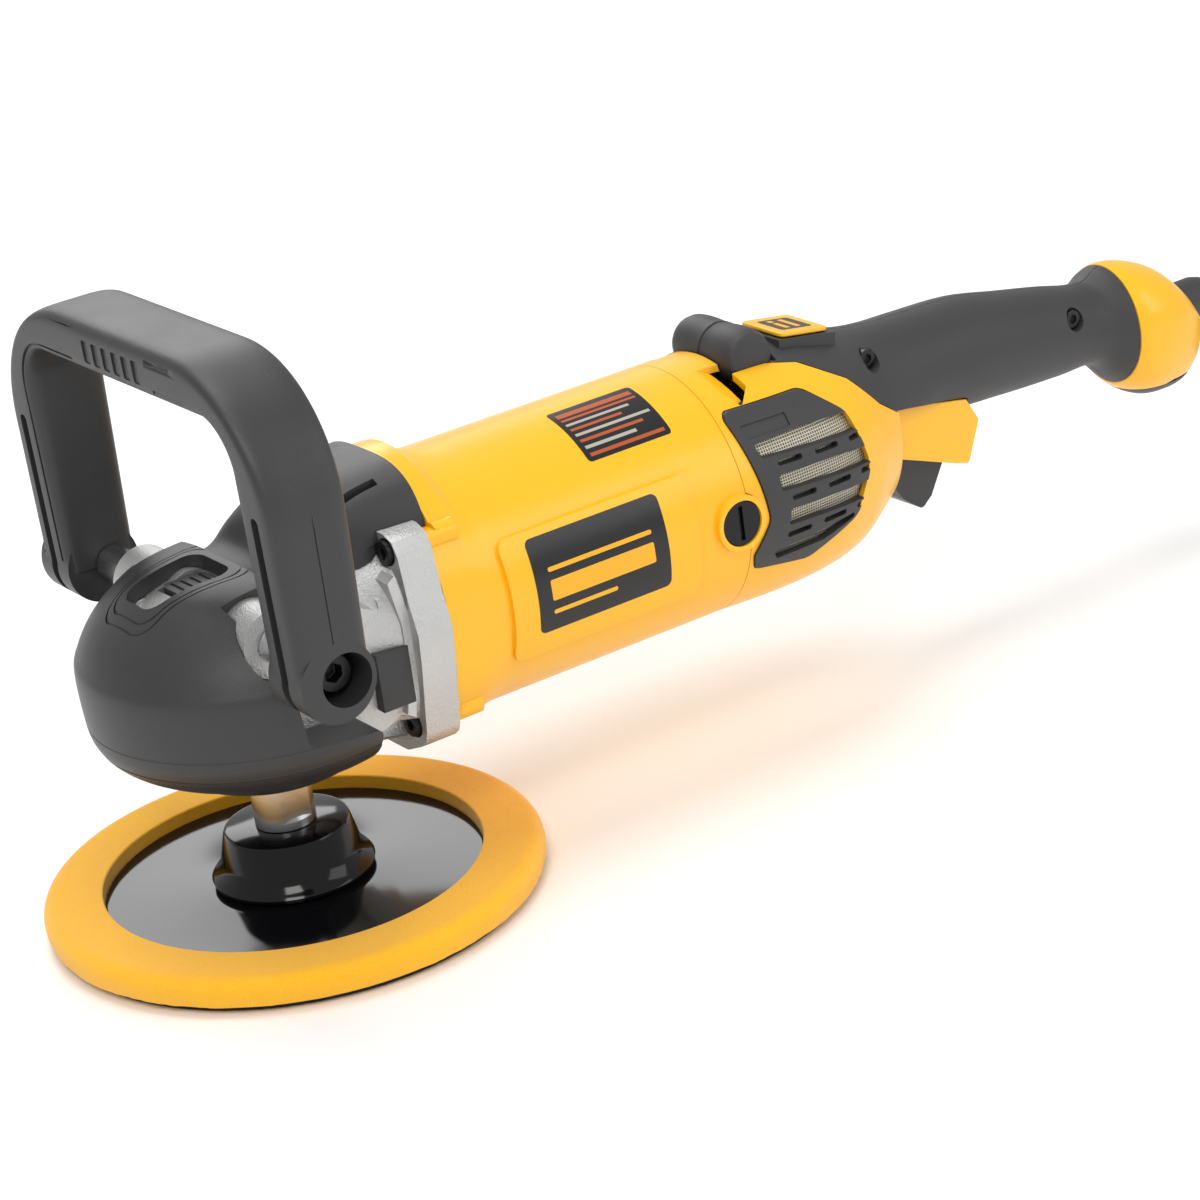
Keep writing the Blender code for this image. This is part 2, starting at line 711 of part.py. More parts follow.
def build_lock():
    """The spindle lock: a button in the head's window, with a pin that drops beside the gear."""
    base = 113 * MM + 0.6 * MM + LOCK_TRAVEL
    outline = rounded(
        [
            (LOCK_X - 9 * MM, -8 * MM),
            (LOCK_X + 7 * MM, -8 * MM),
            (LOCK_X + 7 * MM, 8 * MM),
            (LOCK_X - 9 * MM, 8 * MM),
        ],
        3 * MM,
        3,
    )
    button = prism("lock_button", outline, "z", base, LOCK_TOP + LOCK_TRAVEL, RUBBER)
    pin_end = WEB_TOP + LOCK_TRAVEL + 7.2 * MM
    join(
        button,
        rod("lock_pin", (LOCK_PIN_X, 0, pin_end), base + 1 * MM - pin_end, LOCK_PIN_R, "z", None, 16),
    )
    spring_at = (LOCK_X - 4 * MM, 0, 0)
    spring = ring(
        "lock_spring", 1.6 * MM, 2.6 * MM, 113 * MM + 0.1 * MM, base - 0.1 * MM, STEEL, "z", spring_at, 20
    )
    return button, spring


def build_saddle():
    """The cover over the case's neck, which climbs from the head to the motor case."""
    sections = []
    for x, half, top in (
        (-5.7, 26, 128.5), (2, 28, 131), (9, 29, 137.5), (20, 31, 144), (34, 34, 148.5), (53.7, 36, 150.5)
    ):
        low = 112 * MM
        sections.append(egg(x * MM, low, half * MM, top * MM - low, 8 * MM, 3.2, 2.4, 28))
    saddle = skin("saddle_cover", sections, BLACK)
    cut(saddle, case_outside("neck_room", GAP))
    cut(saddle, box("saddle_under", (-30 * MM, -60 * MM, 80 * MM), (80 * MM, 60 * MM, 121 * MM)))
    step = box("saddle_step", (FLANGE_REAR, -60 * MM, 80 * MM), (80 * MM, 60 * MM, SADDLE_STEP + GAP))
    cut(saddle, step)
    for y, z in case_screws():
        cut(saddle, rod("head_room", (20 * MM, y, z), 17 * MM, 5 * MM, "x", None, 16))
    slot = box("saddle_slot", (20 * MM, -24 * MM, 139 * MM), (44 * MM, -21 * MM, 170 * MM))
    cut(saddle, slot)
    return saddle


# ---- the bail handle -------------------------------------------------------------------------
def handle_stations():
    """Pairs of outer and inner (y, z) points round the D, from the left foot to the right."""
    straight = HANDLE_TOP - HANDLE_CORNER
    pairs = []
    for z in (HANDLE_BOLT[1], 130 * MM, 148 * MM, straight - 1 * MM):
        pairs.append(((HANDLE_HALF, z), (HANDLE_INNER, z)))
    outer = arc((HANDLE_HALF - HANDLE_CORNER, straight), HANDLE_CORNER, 0, 90, 6)
    centre = (HANDLE_INNER - HANDLE_INNER_CORNER, HANDLE_LOOP_TOP - HANDLE_INNER_CORNER)
    inner = arc(centre, HANDLE_INNER_CORNER, 0, 90, 6)
    pairs += list(zip(outer, inner))
    pairs.append(((24 * MM, HANDLE_TOP), (24 * MM, HANDLE_LOOP_TOP)))
    left = [((-a[0], a[1]), (-b[0], b[1])) for a, b in pairs]
    return left + pairs[::-1]


def handle_section(outer, inner, power=4.7, points=20):
    outer, inner = Vector(outer), Vector(inner)
    middle = (outer + inner) / 2
    reach = (outer - inner) / 2
    found = []
    for i in range(points):
        angle = 2 * math.pi * (i + 0.5) / points
        c, s = math.cos(angle), math.sin(angle)
        across = math.copysign(abs(c) ** (2 / power), c)
        along = math.copysign(abs(s) ** (2 / power), s)
        place = middle + reach * across
        rise = place.y - HANDLE_BOLT[1]
        front = HANDLE_FRONT - HANDLE_FLARE * rise
        rear = HANDLE_REAR + HANDLE_FLARE * rise
        found.append(Vector(((front + rear) / 2 + (rear - front) / 2 * along, place.x, place.y)))
    return found


def build_handle():
    handle = skin("bail_handle", [handle_section(*pair) for pair in handle_stations()], BLACK)
    x, z = HANDLE_BOLT
    middle = (HANDLE_FRONT + HANDLE_REAR) / 2
    foot_x = middle
    pieces = []
    for side, name in ((-1, "left"), (1, "right")):
        inner = side * (HANDLE_INNER + 1.2 * MM)
        outer = side * (HANDLE_HALF - 0.2 * MM)
        low, high = sorted((inner, outer))
        join(
            handle,
            rod("foot_" + name, (foot_x, low, z), high - low, HANDLE_FOOT_R - 0.1 * MM, "y", None, 24),
        )
    for side, name in ((-1, "left"), (1, "right")):
        def span(a, b):
            ends = sorted((side * a, side * b))
            return ends[0], ends[1] - ends[0]

        floor = BOLT_HEAD_OUT - BOLT_HEAD_TALL - GAP
        start, length = span(floor, HANDLE_HALF + 5 * MM)
        cut(handle, rod("bolt_recess", (x, start, z), length, 9.2 * MM, "y", None, 24))
        start, length = span(HANDLE_INNER - 8 * MM, HANDLE_HALF)
        cut(handle, rod("bolt_hole", (x, start, z), length, BOLT_R + GAP, "y", None, 16))
        start, length = span(BOLT_HEAD_OUT - BOLT_HEAD_TALL, BOLT_HEAD_OUT)
        bolt = rod("handle_bolt_" + name, (x, start, z), length, BOLT_HEAD_R, "y", DARK_STEEL, 20)
        start, length = span(BOLT_END, BOLT_HEAD_OUT - 2 * MM)
        join(bolt, rod("bolt_shank", (x, start, z), length, BOLT_R, "y", None, 16))
        start, length = span(BOLT_HEAD_OUT - 4.5 * MM, BOLT_HEAD_OUT + 5 * MM)
        cut(bolt, rod("bolt_socket", (x, start, z), length, 3.4 * MM, "y", None, 6))
        low, high = sorted((side * (ARM_END + GAP), side * (HANDLE_INNER - GAP)))
        spacer = ring("handle_spacer_" + name, BOLT_R + GAP, NECK_R, low, high, STEEL, "y", (x, 0, z), 24)
        pieces += [bolt, spacer]
    return [handle, *pieces]


# ---- the motor's yellow housings -------------------------------------------------------------
def field_sections(shrink):
    sections = []
    stations = (
        (FLANGE_REAR + GAP, 48.5, 55.0, 43.5, 2.0, 2.8),
        (62 * MM, 48.0, 55.0, 43.5, 2.0, 2.8),
        (CASE_STEP + 1 * MM, 47.6, 49.5, 44.5, 2.0, 2.6),
        (CASE_BARREL, BARREL_R / MM, BARREL_R / MM, BARREL_R / MM, 2.0, 2.0),
        (SEAM - GAP / 2, BARREL_R / MM, BARREL_R / MM, BARREL_R / MM, 2.0, 2.0),
    )
    for i, (x, half, above, below, upper, lower) in enumerate(stations):
        if shrink and i == 0:
            x -= 5 * MM
        if shrink and i == len(stations) - 1:
            x += 5 * MM
        size = [side * MM - shrink for side in (half, above, below)]
        sections.append(egg(x, AXIS_Z, *size, upper, lower, 28))
    return sections


def rear_sections(shrink, last=99):
    """The outline behind the seam: motor tail, neck, grip and the flared end."""
    stations = (
        (SEAM + GAP / 2, AXIS_Z, BARREL_R, BARREL_R, BARREL_R),
        (204 * MM, AXIS_Z, BARREL_R, BARREL_R, 48.3 * MM),
        (226 * MM, AXIS_Z, 45.5 * MM, 46 * MM, 47.5 * MM),
        (243 * MM, AXIS_Z, 40 * MM, 42.5 * MM, 45 * MM),
        (255 * MM, AXIS_Z, 33.5 * MM, 39.8 * MM, 39 * MM),
        (264 * MM, 97 * MM, 28.5 * MM, 36.2 * MM, 35.5 * MM),
        (275 * MM, 102 * MM, 24.5 * MM, 30 * MM, 27 * MM),
        (291 * MM, 109 * MM, 21.8 * MM, 22.4 * MM, 21 * MM),
        (317 * MM, 108.7 * MM, 21.3 * MM, 21.5 * MM, 21.5 * MM),
        (340 * MM, 105.8 * MM, 19.7 * MM, 19.9 * MM, 19.9 * MM),
        (360 * MM, 103.4 * MM, 18 * MM, 18.3 * MM, 18.3 * MM),
        (379 * MM, 101 * MM, 16.4 * MM, 16.6 * MM, 16.4 * MM),
        (388 * MM, 98 * MM, 19.5 * MM, 23.2 * MM, 21.5 * MM),
        (395 * MM, 96 * MM, 23.5 * MM, 26 * MM, 26.5 * MM),
        (404 * MM, 95.3 * MM, 24 * MM, 24.8 * MM, 30.5 * MM),
        (414 * MM, 95 * MM, 22.5 * MM, 20.5 * MM, 31.5 * MM),
        (422 * MM, 94 * MM, 19.5 * MM, 14 * MM, 30 * MM),
        (TAIL_END, 92 * MM, 16.5 * MM, 7 * MM, 25 * MM),
    )
    sections = []
    for i, (x, middle, half, above, below) in enumerate(stations[:last]):
        if shrink and i == 0:
            x -= 5 * MM
        size = [side - shrink for side in (half, above, below)]
        sections.append(egg(x, middle, *size, 2.0, 2.0, 24))
    return sections


def brush_boss(name, side, look=None):
    low, high = sorted((side * 20 * MM, side * BRUSH_FACE))
    return rod(name, (BRUSH_X, low, AXIS_Z), high - low, BRUSH_RING_R, "y", look, 24)


def lint_outline(grow):
    corners = [
        (185 * MM, 106 * MM),
        (187 * MM, 92 * MM),
        (179.5 * MM, 80 * MM),
        (180.5 * MM, 74 * MM),
        (206 * MM, 69.5 * MM),
        (229 * MM, 79.5 * MM),
        (237.5 * MM, 97 * MM),
        (231.5 * MM, 118 * MM),
        (217 * MM, 130 * MM),
        (180.5 * MM, 131 * MM),
    ]
    middle = Vector((208 * MM, 101 * MM))
    moved = [Vector(c) + (Vector(c) - middle).normalized() * grow for c in corners]
    return rounded([tuple(m) for m in moved], [4 * MM, 8 * MM] + [3 * MM] * 2 + [9 * MM] * 5 + [3 * MM], 3)


def build_field_case():
    case = skin("field_case", field_sections(0.0), YELLOW)
    panel = rod("side_panel", (75 * MM, 0, AXIS_Z), 80 * MM, BARREL_R + 1.6 * MM, "x", None, 48)
    keep(panel, box("panel_band", (60 * MM, -60 * MM, 74 * MM), (180 * MM, 60 * MM, 119 * MM)))
    join(case, panel)
    cut(case, skin("field_room", field_sections(BARREL_WALL)))
    top = box("saddle_room", (30 * MM, -60 * MM, SADDLE_STEP), (CASE_FRONT_TOP, 60 * MM, 170 * MM))
    for side in (-1, 1):
        join(case, brush_boss("brush_boss", side))
        for start, radius in ((10 * MM, 7.4 * MM), (44.2 * MM, BRUSH_CAP_R + GAP)):
            low, high = sorted((side * start, side * 70 * MM))
            cut(case, rod("brush_bore", (BRUSH_X, low, AXIS_Z), high - low, radius, "y", None, 24))
    for y, z in case_screws():
        boss = rod("screw_boss", (FLANGE_REAR + GAP, y, z), 12 * MM, 4.6 * MM, "x", None, 16)
        join(case, boss)
        cut(
            case,
            rod(
                "screw_bore", (20 * MM, y, z), FLANGE_REAR + 10 * MM - 20 * MM, SCREW_R + GAP, "x", None, 16
            ),
        )
    cut(case, top)
    clearance = rod(
        "rotor_clearance", (FLANGE_REAR - 5 * MM, 0, AXIS_Z), 24 * MM, FAN_R + 1 * MM, "x", None, 32
    )
    cut(case, clearance)
    return case


def housing_divide(name, grow=0.0):
    """Everything that belongs to the black grip: an outline seen from the side."""
    corners = [
        (197 * MM - grow, 175 * MM),
        (197 * MM - grow, 141 * MM - grow),
        (212 * MM, 138.5 * MM - grow),
        (224 * MM, 136 * MM - grow),
        (241 * MM - 0.7 * grow, 126 * MM - 0.7 * grow),
        (253 * MM - 0.8 * grow, 113 * MM - 0.6 * grow),
        (263 * MM - grow, 106 * MM - grow),
        (306 * MM, 96 * MM - grow),
        (313 * MM, 84 * MM - grow),
        (330 * MM, 60 * MM),
        (TAIL_PLANE_LOW[0] + 9 * MM, 28 * MM),
        (TAIL_PLANE_TOP[0] - 11 * MM, 175 * MM),
    ]
    return prism(name, corners, "y", -80 * MM, 80 * MM)


def build_rear_housing():
    housing = skin("rear_housing", rear_sections(0.0, 6), YELLOW)
    room = skin("rear_room", rear_sections(BARREL_WALL, 6))
    keep(room, box("rear_room_end", (150 * MM, -60 * MM, 30 * MM), (261 * MM, 60 * MM, 160 * MM)))
    cut(housing, room)
    low, high, outer = REAR_BEARING
    web = rod("rear_web", (low - 2 * MM, 0, AXIS_Z), high - low + 4 * MM, BARREL_R - 1.2 * MM, "x", None, 32)
    cut(web, rod("web_bore", (low - 10 * MM, 0, AXIS_Z), 40 * MM, outer, "x", None, ROUND))
    for i in range(4):
        turn = math.radians(45 + 90 * i)
        y, z = 29.3 * MM * math.cos(turn), AXIS_Z + 29.3 * MM * math.sin(turn)
        cut(web, rod("web_hole", (low - 10 * MM, y, z), 40 * MM, 9.7 * MM, "x", None, 22))
    join(housing, web)
    cut(housing, housing_divide("housing_black", GAP))
    wheel_x, wheel_z = WHEEL_AT
    room = WHEEL_HALF + GAP
    wheel_room = rod("wheel_room", (wheel_x, -room, wheel_z), 2 * room, WHEEL_R + 0.6 * MM, "y", None, 32)
    cut(housing, wheel_room)
    cut(housing, box("wire_way", (250 * MM, -9 * MM, 92 * MM), (270 * MM, 9 * MM, 130 * MM)))
    for side in (-1, 1):
        boss = rod(
            "boss_room",
            (BRUSH_X, side * 45 * MM - 30 * MM, AXIS_Z),
            60 * MM,
            BRUSH_RING_R + GAP,
            "y",
            None,
            24,
        )
        cut(housing, boss)
        low, high = sorted((side * 18 * MM, side * 70 * MM))
        cut(housing, prism("lint_opening", lint_outline(GAP), "y", low, high))
    return housing


def wall_between(name, outer_shrink, inner_shrink, look):
    shell = skin(name, rear_sections(outer_shrink, 6), look)
    cut(shell, skin(name + "_inside", rear_sections(inner_shrink, 6)))
    return shell


def build_intakes():
    pieces = []
    for side, word in ((-1, "left"), (1, "right")):
        low, high = sorted((side * 18 * MM, side * 70 * MM))
        cover = wall_between("lint_cover_" + word, -0.9 * MM, BARREL_WALL + 0.2 * MM, RUBBER)
        keep(cover, prism("lint_edge", lint_outline(0.0), "y", low, high))
        for i in range(4):
            z = 81 * MM + 11.5 * MM * i
            start = 193 * MM - 2 * MM * min(i, 1)
            stop = (226, 232, 230, 222)[i] * MM
            slot = rounded(
                [(start, z), (stop, z), (stop, z + 6.2 * MM), (start, z + 6.2 * MM)], 2.6 * MM, 3
            )
            cut(cover, prism("lint_slot", slot, "y", low, high))
        screen = wall_between("mesh_screen_" + word, BARREL_WALL + 0.5 * MM, BARREL_WALL + 1.7 * MM, MESH)
        patch = rounded(
            [
                (190 * MM, 77 * MM),
                (230 * MM, 77 * MM),
                (233 * MM, 97 * MM),
                (226 * MM, 121 * MM),
                (188 * MM, 121 * MM),
            ],
            4 * MM,
            3,
        )
        keep(screen, prism("screen_edge", patch, "y", low, high))
        pieces += [cover, screen]
    return pieces


def build_brushes():
    pieces = []
    for side, word in ((-1, "left"), (1, "right")):
        def along(name, start, stop, radius, look, sides=24):
            low, high = sorted((side * start, side * stop))
            return rod(name, (BRUSH_X, low, AXIS_Z), high - low, radius, "y", look, sides)

        holder = along("brush_holder_" + word, 18 * MM, 43.9 * MM, 7.1 * MM, BRASS, 24)
        cut(holder, along("holder_bore", 10 * MM, 50 * MM, 4.5 * MM, None))
        brush = along("carbon_brush_" + word, COMMUTATOR_R + 0.5 * MM, 34 * MM, 4.2 * MM, CARBON)
        cap = along("brush_cap_" + word, 44.5 * MM, BRUSH_FACE - 0.6 * MM, BRUSH_CAP_R, BLACK, 24)
        low, high = sorted((side * (BRUSH_FACE - 2.6 * MM), side * 60 * MM))
        slot = box(
            "cap_slot",
            (BRUSH_X - 0.9 * MM, low, AXIS_Z - 6.4 * MM),
            (BRUSH_X + 0.9 * MM, high, AXIS_Z + 6.4 * MM),
        )
        cut(cap, slot)
        pieces += [holder, brush, cap]
    return pieces


# ---- the grip, its switch and the tail -------------------------------------------------------
GRIP_SCREWS = ((259.6 * MM, 125.5 * MM, 15 * MM), (362.7 * MM, 110.5 * MM, 12 * MM))  # x, z, floor


def build_grip():
    pieces = []
    for side, word in ((-1, "left"), (1, "right")):
        half = skin("grip_" + word, rear_sections(0.0, 14), RUBBER)
        pedestal = box("badge_seat", (223 * MM, -14 * MM, 120 * MM), (249 * MM, 14 * MM, 140.6 * MM))
        turn = Matrix.Translation((236 * MM, 0, 139 * MM)) @ Matrix.Rotation(math.radians(9), 4, "Y")
        pedestal.data.transform(turn @ Matrix.Translation((-236 * MM, 0, -139 * MM)))
        join(half, pedestal)
        keep(half, housing_divide("grip_outline"))
        cut(half, skin("grip_room", rear_sections(GRIP_WALL, 14)))
        for x, z, floor in GRIP_SCREWS:
            boss = rod("grip_boss", (x, -40 * MM, z), 80 * MM, 5.8 * MM, "y", None, 16)
            keep(boss, skin("boss_limit", rear_sections(1 * MM, 14)))
            join(half, boss)
            cut(half, rod("grip_screw_hole", (x, -40 * MM, z), 51 * MM, 2 * MM, "y", None, 16))
            cut(half, rod("grip_screw_recess", (x, -40 * MM, z), 40 * MM - floor, 4.4 * MM, "y", None, 28))
        x, z = WHEEL_AT
        room = WHEEL_HALF + GAP
        cut(half, rod("wheel_room", (x, -room, z), 2 * room, WHEEL_R + 0.6 * MM, "y", None, 32))
        low, high = sorted((side * GAP / 2, -side * 90 * MM))
        cut(half, box("other_half", (150 * MM, low, 20 * MM), (450 * MM, high, 200 * MM)))
        pieces.append(half)
    screws = []
    for (x, z, floor), word in zip(GRIP_SCREWS, ("front", "rear")):
        screw = rod(
            "grip_screw_" + word, (x, -floor - GAP - 2.6 * MM, z), 2.6 * MM, 3.6 * MM, "y", DARK_STEEL, 24
        )
        shank_end = 10 * MM
        join(
            screw,
            rod("grip_shank", (x, -floor - GAP - 0.5 * MM, z), floor + shank_end, 1.6 * MM, "y", None, 16),
        )
        cut(screw, rod("grip_socket", (x, -floor - 6 * MM, z), 4.6 * MM, 1.9 * MM, "y", None, 6))
        screws.append(screw)
    return pieces + screws


def build_wheel():
    x, z = WHEEL_AT
    wheel = rod("speed_wheel", (x, -WHEEL_HALF, z), 2 * WHEEL_HALF, WHEEL_R, "y", RUBBER, 32)
    groove = ring(
        "wheel_groove", WHEEL_R - 0.8 * MM, WHEEL_R + 2 * MM, -0.6 * MM, 0.6 * MM, None, "y", (x, 0, z)
    )
    cut(wheel, groove)
    return wheel


def build_badge():
    plate = box("badge_plate", (225 * MM, -12.5 * MM, 141 * MM), (247 * MM, 12.5 * MM, 142.6 * MM), YELLOW)
    turn = Matrix.Translation((236 * MM, 0, 139 * MM)) @ Matrix.Rotation(math.radians(9), 4, "Y")
    plate.data.transform(turn @ Matrix.Translation((-236 * MM, 0, -139 * MM)))
    return plate


def build_guard():
    outline = [
        (264.4 * MM, 105.2 * MM - GAP),
        (306 * MM, 95.4 * MM - GAP),
        (312 * MM, 85 * MM),
        (304.5 * MM, 69.5 * MM),
        (298 * MM, 71.5 * MM),
        (264.4 * MM, 85 * MM),
    ]
    guard = prism("trigger_guard", outline, "y", -30 * MM, 30 * MM, YELLOW)
    plan = [
        (262 * MM, -22 * MM),
        (280 * MM, -19 * MM),
        (318 * MM, -14 * MM),
        (318 * MM, 14 * MM),
        (280 * MM, 19 * MM),
        (262 * MM, 22 * MM),
    ]
    keep(guard, prism("guard_plan", plan, "z", 50 * MM, 120 * MM))
    cut(guard, box("guard_room", (265.6 * MM, -GUARD_CAVITY, 40 * MM), (302 * MM, GUARD_CAVITY, 120 * MM)))
    x, z = TRIGGER_PIVOT
    cut(guard, rod("pin_hole", (x, -15 * MM, z), 30 * MM, PIVOT_R + GAP, "y", None, 16))
    return guard


def build_trigger():
    x, z = TRIGGER_PIVOT
    corners = [
        (266.6 * MM, TRIGGER_TOP),
        (266.6 * MM, 77 * MM),
        (275.5 * MM, 62.4 * MM),
        (284 * MM, 56 * MM),
        (289 * MM, 60 * MM),
        (297 * MM, 73.7 * MM),
        (298 * MM, 84 * MM),
        (294 * MM, TRIGGER_TOP),
    ]
    outline = rounded(corners, [1 * MM, 4 * MM, 6 * MM, 2.2 * MM, 2.5 * MM, 4 * MM, 4 * MM, 1 * MM], 3)
    trigger = prism("trigger", outline, "y", -TRIGGER_HALF, TRIGGER_HALF, BLACK)
    cut(trigger, rod("pivot_bore", (x, -20 * MM, z), 40 * MM, bore_for(PIVOT_R, 24), "y", None, 16))
    pin_half = 15 * MM - GAP
    pin = rod("trigger_pin", (x, -pin_half, z), 2 * pin_half, PIVOT_R, "y", STEEL, 24)
    low, high, half, top = SWITCH_BOX
    body = box("switch_body", (low, -half, SWITCH_FLOOR), (high, half, top), BLACK)
    stem = 2.6 * MM
    cut(body, rod("plunger_bore", (PLUNGER_X, 0, SWITCH_FLOOR - 5 * MM), 18 * MM, stem + GAP, "z", None, 16))
    plunger = rod("switch_plunger", (PLUNGER_X, 0, TRIGGER_TOP + 0.6 * MM), 16 * MM, stem, "z", YELLOW, 24)
    spring = ring(
        "trigger_spring",
        1.8 * MM,
        3 * MM,
        TRIGGER_TOP + 0.15 * MM,
        SWITCH_FLOOR - 0.1 * MM,
        STEEL,
        "z",
        (SPRING_X, 0, 0),
        20,
    )
    return trigger, pin, body, plunger, spring


def build_tail():
    cap = skin("tail_cap", rear_sections(0.0)[11:], YELLOW)
    top, low = TAIL_PLANE_TOP, TAIL_PLANE_LOW
    ahead = [
        (300 * MM, 175 * MM),
        (300 * MM, 28 * MM),
        (low[0] + 9 * MM + GAP, 28 * MM),
        (top[0] - 11 * MM + GAP, 175 * MM),
    ]
    cut(cap, prism("cap_front", ahead, "y", -80 * MM, 80 * MM))
    cut(cap, skin("cap_room", rear_sections(GRIP_WALL)[11:16]))
    cut(cap, rod("relief_bore", (395 * MM, 0, CORD_Z), 60 * MM, RELIEF_R + GAP, "x", None, 24))
    outline = [
        (0, RELIEF_END),
        (CORD_R + 1.4 * MM, RELIEF_END),
        (RELIEF_R - 1.2 * MM, TAIL_END + 16 * MM),
        (RELIEF_R, TAIL_END + 12 * MM),
        (RELIEF_R, 411 * MM),
        (0, 411 * MM),
    ]
    relief = turned("strain_relief", outline, RUBBER, "x", (0, 0, CORD_Z), 24)
    return cap, relief


# ---- the cord --------------------------------------------------------------------------------
CORD_ROUTE = (
    (474.5, 0, 95),
    (484, 0, 95),
    (492, 0, 94.2),
    (501, 0, 91.6),
    (509.5, 0, 87.2),
    (517, 0, 81),
    (523, 0, 73),
    (527.2, 0, 63.5),
    (529.5, 0, 53.5),
    (531.5, 0, 43),
    (535.3, 0, 33),
    (541, 0, 24),
    (548.5, 0, 16.2),
    (557.5, 0, 10),
    (567.5, 0, 5.8),
    (577.5, 0, 4.2),
    (585, 0, 4.1),
)


def build_cord():
    curve = bpy.data.curves.new("cord_tube", "CURVE")
    curve.dimensions = "3D"
    line = curve.splines.new("POLY")
    line.points.add(len(CORD_ROUTE) - 1)
    for point, place in zip(line.points, CORD_ROUTE):
        point.co = (*[side * MM for side in place], 1)
    curve.bevel_depth = CORD_R
    curve.bevel_resolution = 2
    curve.use_fill_caps = True
    tube = bpy.data.objects.new("cord_tube", curve)
    curve.materials.append(PVC)
    PARTS.objects.link(tube)
    reach = 3 * CORD_R
    upper = COIL_R + CORD_R, COIL_R - CORD_R
    tall = 6 * CORD_R
    outline = [
        (upper[1], tall + 2 * CORD_R),
        (upper[0], tall + 2 * CORD_R),
        (upper[0], tall),
        (COIL_R + reach, tall),
        (COIL_R + reach, 0.2 * MM),
        (COIL_R - reach, 0.2 * MM),
        (COIL_R - reach, tall),
        (upper[1], tall),
    ]
    coil = turned("cord_coil", outline, PVC, "z", (*COIL_CENTRE, 0), 32, closed=True)
    x, y = COIL_CENTRE[0] + COIL_R + 2 * CORD_R, COIL_CENTRE[1]
    body_start = y + 47 * MM
    plug = rod("plug", (x - 4 * MM, y + 40 * MM, 13 * MM), 12 * MM, 5 * MM, "y", RUBBER, 24)
    face = rounded(
        [
            (x - 18 * MM, 1 * MM), (x + 10 * MM, 1 * MM), (x + 10 * MM, 25 * MM), (x - 18 * MM, 25 * MM),
        ], 7 * MM, 4
    )
    shape = bmesh.new()
    ring_points = [shape.verts.new((px, body_start, pz)) for px, pz in face]
    bottom = shape.faces.new(ring_points)
    pushed = bmesh.ops.extrude_face_region(shape, geom=[bottom])
    moved = [e for e in pushed["geom"] if isinstance(e, bmesh.types.BMVert)]
    bmesh.ops.translate(shape, verts=moved, vec=(0, 30 * MM, 0))
    join(plug, from_bmesh("plug_body", shape, None))
    for side in (-1, 1):
        middle = x - 4 * MM + side * 6.35 * MM
        blade = box(
            "plug_blade",
            (middle - 0.75 * MM, body_start + 28 * MM, 9.9 * MM),
            (middle + 0.75 * MM, body_start + 47 * MM, 16.1 * MM),
        )
        join(plug, blade)
    return tube, coil, plug


# ---- putting it together ---------------------------------------------------------------------
pad = build_pad()
drive = build_spindle()
gear_side, pinion_side = build_gears()
turning, fixed = build_motor()
case_pieces = build_gear_case()
cover = build_head_cover()
button, button_spring = build_lock()
saddle = build_saddle()
handle_pieces = build_handle()
field = build_field_case()
housing = build_rear_housing()
intakes = build_intakes()
brushes = build_brushes()
grip_pieces = build_grip()
wheel = build_wheel()
badge = build_badge()
guard = build_guard()
trigger, trigger_pin, switch, plunger, trigger_spring = build_trigger()
tail, relief = build_tail()
cord_pieces = build_cord()

hang(pivot("spindle_axis", (0, 0, 0)), *pad, *drive, *gear_side)
hang(pivot("motor_axis", (0, 0, AXIS_Z)), *pinion_side, *turning)
hang(pivot("trigger_axis", (TRIGGER_PIVOT[0], 0, TRIGGER_PIVOT[1])), trigger)
hang(pivot("wheel_axis", (WHEEL_AT[0], 0, WHEEL_AT[1])), wheel)
hang(pivot("lock_axis", (LOCK_X, 0, LOCK_TOP)), button)
hang(pivot("plunger_axis", (PLUNGER_X, 0, TRIGGER_TOP)), plunger)
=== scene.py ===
"""The looks of the rotary polisher: fine-meshed covers, procedural materials, the cord and the set.

Every visible shell is built again here at a fine resolution, from the same named sizes as the CAD,
and rides on the body that carries the CAD node it stands for.
"""

import json
import math

import bmesh
import bpy
from mathutils import Matrix, Vector, noise


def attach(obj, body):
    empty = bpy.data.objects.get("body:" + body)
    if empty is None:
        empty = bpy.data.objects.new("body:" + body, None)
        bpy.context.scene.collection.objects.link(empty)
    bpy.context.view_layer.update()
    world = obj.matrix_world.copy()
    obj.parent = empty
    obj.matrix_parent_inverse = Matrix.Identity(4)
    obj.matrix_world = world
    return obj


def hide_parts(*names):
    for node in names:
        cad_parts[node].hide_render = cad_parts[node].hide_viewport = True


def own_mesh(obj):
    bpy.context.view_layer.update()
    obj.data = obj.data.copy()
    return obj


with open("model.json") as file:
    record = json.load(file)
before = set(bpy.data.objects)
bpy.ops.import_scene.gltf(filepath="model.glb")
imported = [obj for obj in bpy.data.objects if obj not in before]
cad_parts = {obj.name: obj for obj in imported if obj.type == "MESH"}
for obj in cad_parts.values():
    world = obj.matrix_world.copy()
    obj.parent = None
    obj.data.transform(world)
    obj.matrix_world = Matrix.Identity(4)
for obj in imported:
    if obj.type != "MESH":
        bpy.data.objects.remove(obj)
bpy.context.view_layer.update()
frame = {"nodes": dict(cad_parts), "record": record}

MM = 0.001


def mm(*numbers):
    return tuple(number * MM for number in numbers)


def spots(*points):
    return [mm(*point) for point in points]


